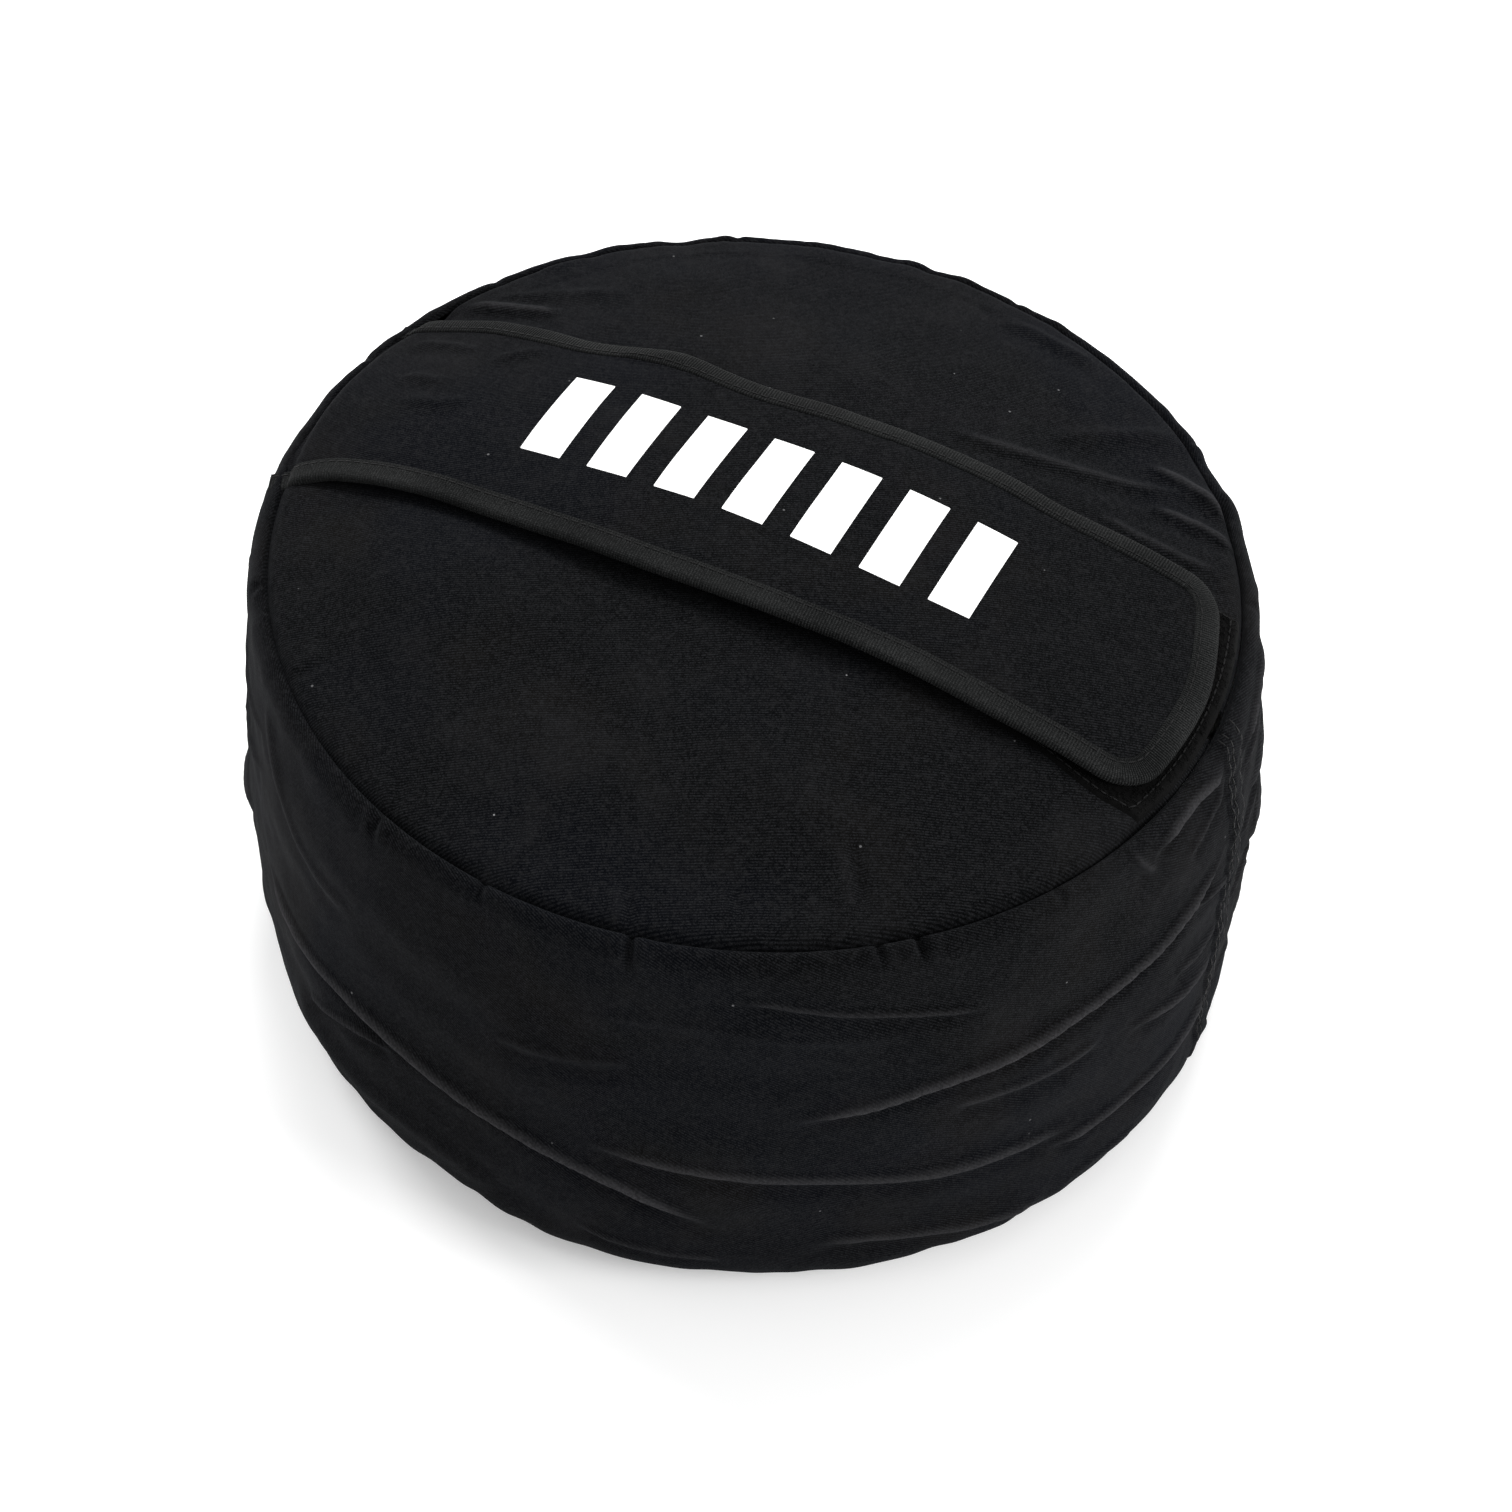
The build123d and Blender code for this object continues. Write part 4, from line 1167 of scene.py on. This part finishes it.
def hook_patch():
    """The hook side, under the flap's end: a moulded tape with rows of small hooks pointing down."""
    x, y, edge = pad_plan(HOOK_LOW, HOOK_HIGH, HOOK_HIGH[0], columns=60, rows=80)
    points, _ = flap_surface(x, y, -0.45 * smooth(edge / PAD_EDGE) + 0.05)
    mesher = Mesher().grid(points)
    across, along = np.meshgrid(np.arange(HOOK_LOW[0] + 2, HOOK_HIGH[0] - 1, 1.5),
                                np.arange(HOOK_LOW[1] + 2, HOOK_HIGH[1] - 1.5, 1.3))
    inside = np.hypot(across, along) < HOOK_HIGH[0] - 1.5
    u, v = across[inside], along[inside]
    places, out = flap_surface(u, v, np.full(len(u), -0.42))
    hook = wire([(0, 0), (0, 0.25), (0.04, 0.42), (0.22, 0.52), (0.36, 0.40)], 0.085)
    mesher.copies(hook, places, frames_from(np.cross(out, [0.0, 1.0, 0.0]), -out))
    return mesher.make("hook_patch_hooks", HOOKS, "hook_tape", None, ["hook_patch"])


def storm_flap():
    parts = edge_parts()
    face_main, face_end = flap_cloth(
        "flap_face", CANVAS, 2 * PLY, ["flap_face", "flap_root"], ["flap_end_face"])
    lining_main, lining_end = flap_cloth("flap_lining", LINING, 0.0, ["flap_lining"], ["flap_end_lining"])
    edge_main, sewn_main = Mesher(), Mesher()
    for side in ("near", "far"):
        edge_main.grid(*binding_grid(parts[side]))
        edge_stitches(sewn_main, parts[side])
    edge_main = edge_main.make("flap_binding_sides", BINDING, "binding", None, ["flap_binding"])
    edge_end = Mesher().grid(*binding_grid(parts["end"]))
    edge_end = edge_end.make("flap_binding_end", BINDING, "binding", None, ["flap_end_binding"])
    sewn_main = sewn_main.make("flap_stitches", THREAD, "thread", None, ["flap_thread"])
    sewn_end = edge_stitches(Mesher(), parts["end"])
    sewn_end = sewn_end.make("flap_end_stitches", THREAD, "thread", None, ["flap_end_thread"])
    hooks = hook_patch()
    stripes = print_stripes()
    for piece in (face_main, lining_main, edge_main, sewn_main):
        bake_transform(piece)
    for piece in (face_end, lining_end, edge_end, sewn_end, hooks):
        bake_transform(piece)


# CAD nodes that keep their shape -----------------------------


def turned(name, outline, material, slot, columns=288):
    """A round body inside the bag, from half of its upright outline; it stands with the slump."""
    radius, height = (side[:, None] for side in np.array(outline, float).T)
    angle = np.linspace(0, 2 * math.pi, columns, endpoint=False)[None]
    points = leaned(ring(radius, angle, height))
    return Mesher().grid(points, around=True).make(name + "_body", material, slot, "bag", [name])


def fill_outline(inset):
    """From the middle of the bottom out, up the side and in over the top to the dish round the neck."""
    radii = [133, 122, 108, 92, 78, 64, 50]
    dome = [(radius, crown_height(radius, -FILL_DROP) - inset) for radius in radii]
    side = [(radius - inset, height) for radius, height in FILL_SIDE]
    bottom = FILL_SIDE[0][1] + inset
    side[0] = (side[0][0], bottom)
    return [(0.01, bottom), *side, *dome, (DISH[0], DISH[1] - inset)]


def filling():
    """The sand in its liner, and the tape round the base seam, all standing with the slump."""
    turned("sand_fill", [*fill_outline(LINER), (0.01, DISH[1] - LINER)], sand_material(), "sand")
    neck = [(10, 157.7), (7.0, 159.4), (7.0, 163.8), (9.0, 166.4), (12.0, 168.6), (0.01, 168.6)]
    turned("liner_bag", [*fill_outline(0), *neck], liner_material(), "liner")
    low, high = node_box("base_seam_binding")
    inner = high[0] - 2 * PLY - 2 * TAPE * 0.75
    section = [(inner, low[2]), (high[0], low[2]), (high[0], high[2]), (inner, high[2]), (inner, low[2])]
    turned("base_seam_binding", section, BINDING, "binding")


def dress_cad_nodes():
    looks = {
        "rim_seam_binding": BINDING, "zip_tape_front": ZIP_TAPE, "zip_tape_back": ZIP_TAPE,
        "zip_stops": METAL, "zip_slider": METAL, "zip_pull_tab": METAL,
        "liner_tie": plastic_material("tie", 0.6),
    }
    for name, material in looks.items():
        mesh = bpy.data.objects[name].data
        mesh.materials.clear()
        mesh.materials.append(material)


# Floor, light and camera -------------------------------------


AZIMUTH, ELEVATION, ROLL = 22.14, 49.05, 4.67
LENS = 82.69
# From the middle of the rim's plane, in metres: back along the view, to the right and down.
CAMERA_BACK, CAMERA_RIGHT, CAMERA_DOWN = 1.0648, 0.00433, 0.0598


def floor():
    s = Shader("floor")
    paper = s.mix(s.noise(3.0, 2), (0.90, 0.90, 0.90), (0.92, 0.92, 0.92))
    material = s.finish(Base_Color=paper, Roughness=0.7, Specular_IOR_Level=0.2,
                        Emission_Color=(1.0, 1.0, 1.0), Emission_Strength=0.25)
    half = 4.0
    mesh = bpy.data.meshes.new("floor")
    corners = [(-half, -half, 0), (half, -half, 0), (half, half, 0), (-half, half, 0)]
    mesh.from_pydata(corners, [], [(0, 1, 2, 3)])
    mesh.materials.append(material)
    piece = bpy.data.objects.new("floor", mesh)
    bpy.context.scene.collection.objects.link(piece)
    piece.location.z = -0.0003


def view_axes(azimuth, elevation):
    """Right, up and forward for a camera that looks down at elevation degrees from azimuth degrees."""
    a, e = math.radians(azimuth), math.radians(elevation)
    right = Vector((math.cos(a), math.sin(a), 0))
    back = Vector((math.sin(a), -math.cos(a), 0))
    forward = -(back * math.cos(e) + Vector((0, 0, 1)) * math.sin(e))
    return right, right.cross(forward), forward


def placed(piece, place, right, up, forward):
    piece.matrix_world = Matrix((
        (right.x, up.x, -forward.x, place.x),
        (right.y, up.y, -forward.y, place.y),
        (right.z, up.z, -forward.z, place.z),
        (0, 0, 0, 1)))
    bpy.context.scene.collection.objects.link(piece)


def camera():
    right, up, forward = view_axes(AZIMUTH, ELEVATION)
    data = bpy.data.cameras.new("camera")
    data.sensor_width = 36.0
    data.lens = LENS
    data.clip_start = 0.01
    middle = Vector((0, 0, RIM_HEIGHT * MM))
    place = middle - forward * CAMERA_BACK + right * CAMERA_RIGHT - up * CAMERA_DOWN
    roll = math.radians(ROLL)
    tilted_right = right * math.cos(roll) + up * math.sin(roll)
    tilted_up = up * math.cos(roll) - right * math.sin(roll)
    piece = bpy.data.objects.new("camera", data)
    placed(piece, place, tilted_right, tilted_up, forward)
    bpy.context.scene.camera = piece


def area_light(name, azimuth, elevation, distance, size, power, colour=(1, 1, 1)):
    right, up, forward = view_axes(azimuth, elevation)
    data = bpy.data.lights.new(name, "AREA")
    data.shape = "SQUARE"
    data.size = size
    data.energy = power
    data.color = colour
    placed(bpy.data.objects.new(name, data), Vector((0, 0, 0.1)) - forward * distance, right, up, forward)


def lights():
    area_light("overhead", AZIMUTH + 180, 62, 2.2, 1.0, 36)
    area_light("back_left", AZIMUTH - 130, 30, 2.4, 0.8, 28)
    area_light("right", AZIMUTH + 70, 26, 2.4, 0.9, 36)
    world = bpy.data.worlds.new("world")
    world.use_nodes = True
    background = world.node_tree.nodes["Background"]
    background.inputs[0].default_value = (1.0, 1.0, 1.0, 1.0)
    background.inputs[1].default_value = 0.7
    bpy.context.scene.world = world
    bpy.context.scene.view_settings.view_transform = "Standard"


camera()
lights()
floor()
side_wall()
side_seam()
base()
top_panel(-1, "top_front_cloth", "top_panel_front")
top_panel(1, "top_back_cloth", "top_panel_back")
zip_stitches()
zip_teeth(-1, "zip_teeth_front_row", "zip_teeth_front")
zip_teeth(1, "zip_teeth_back_row", "zip_teeth_back")
loop_patch()
loop_stitches()
storm_flap()
filling()
dress_cad_nodes()
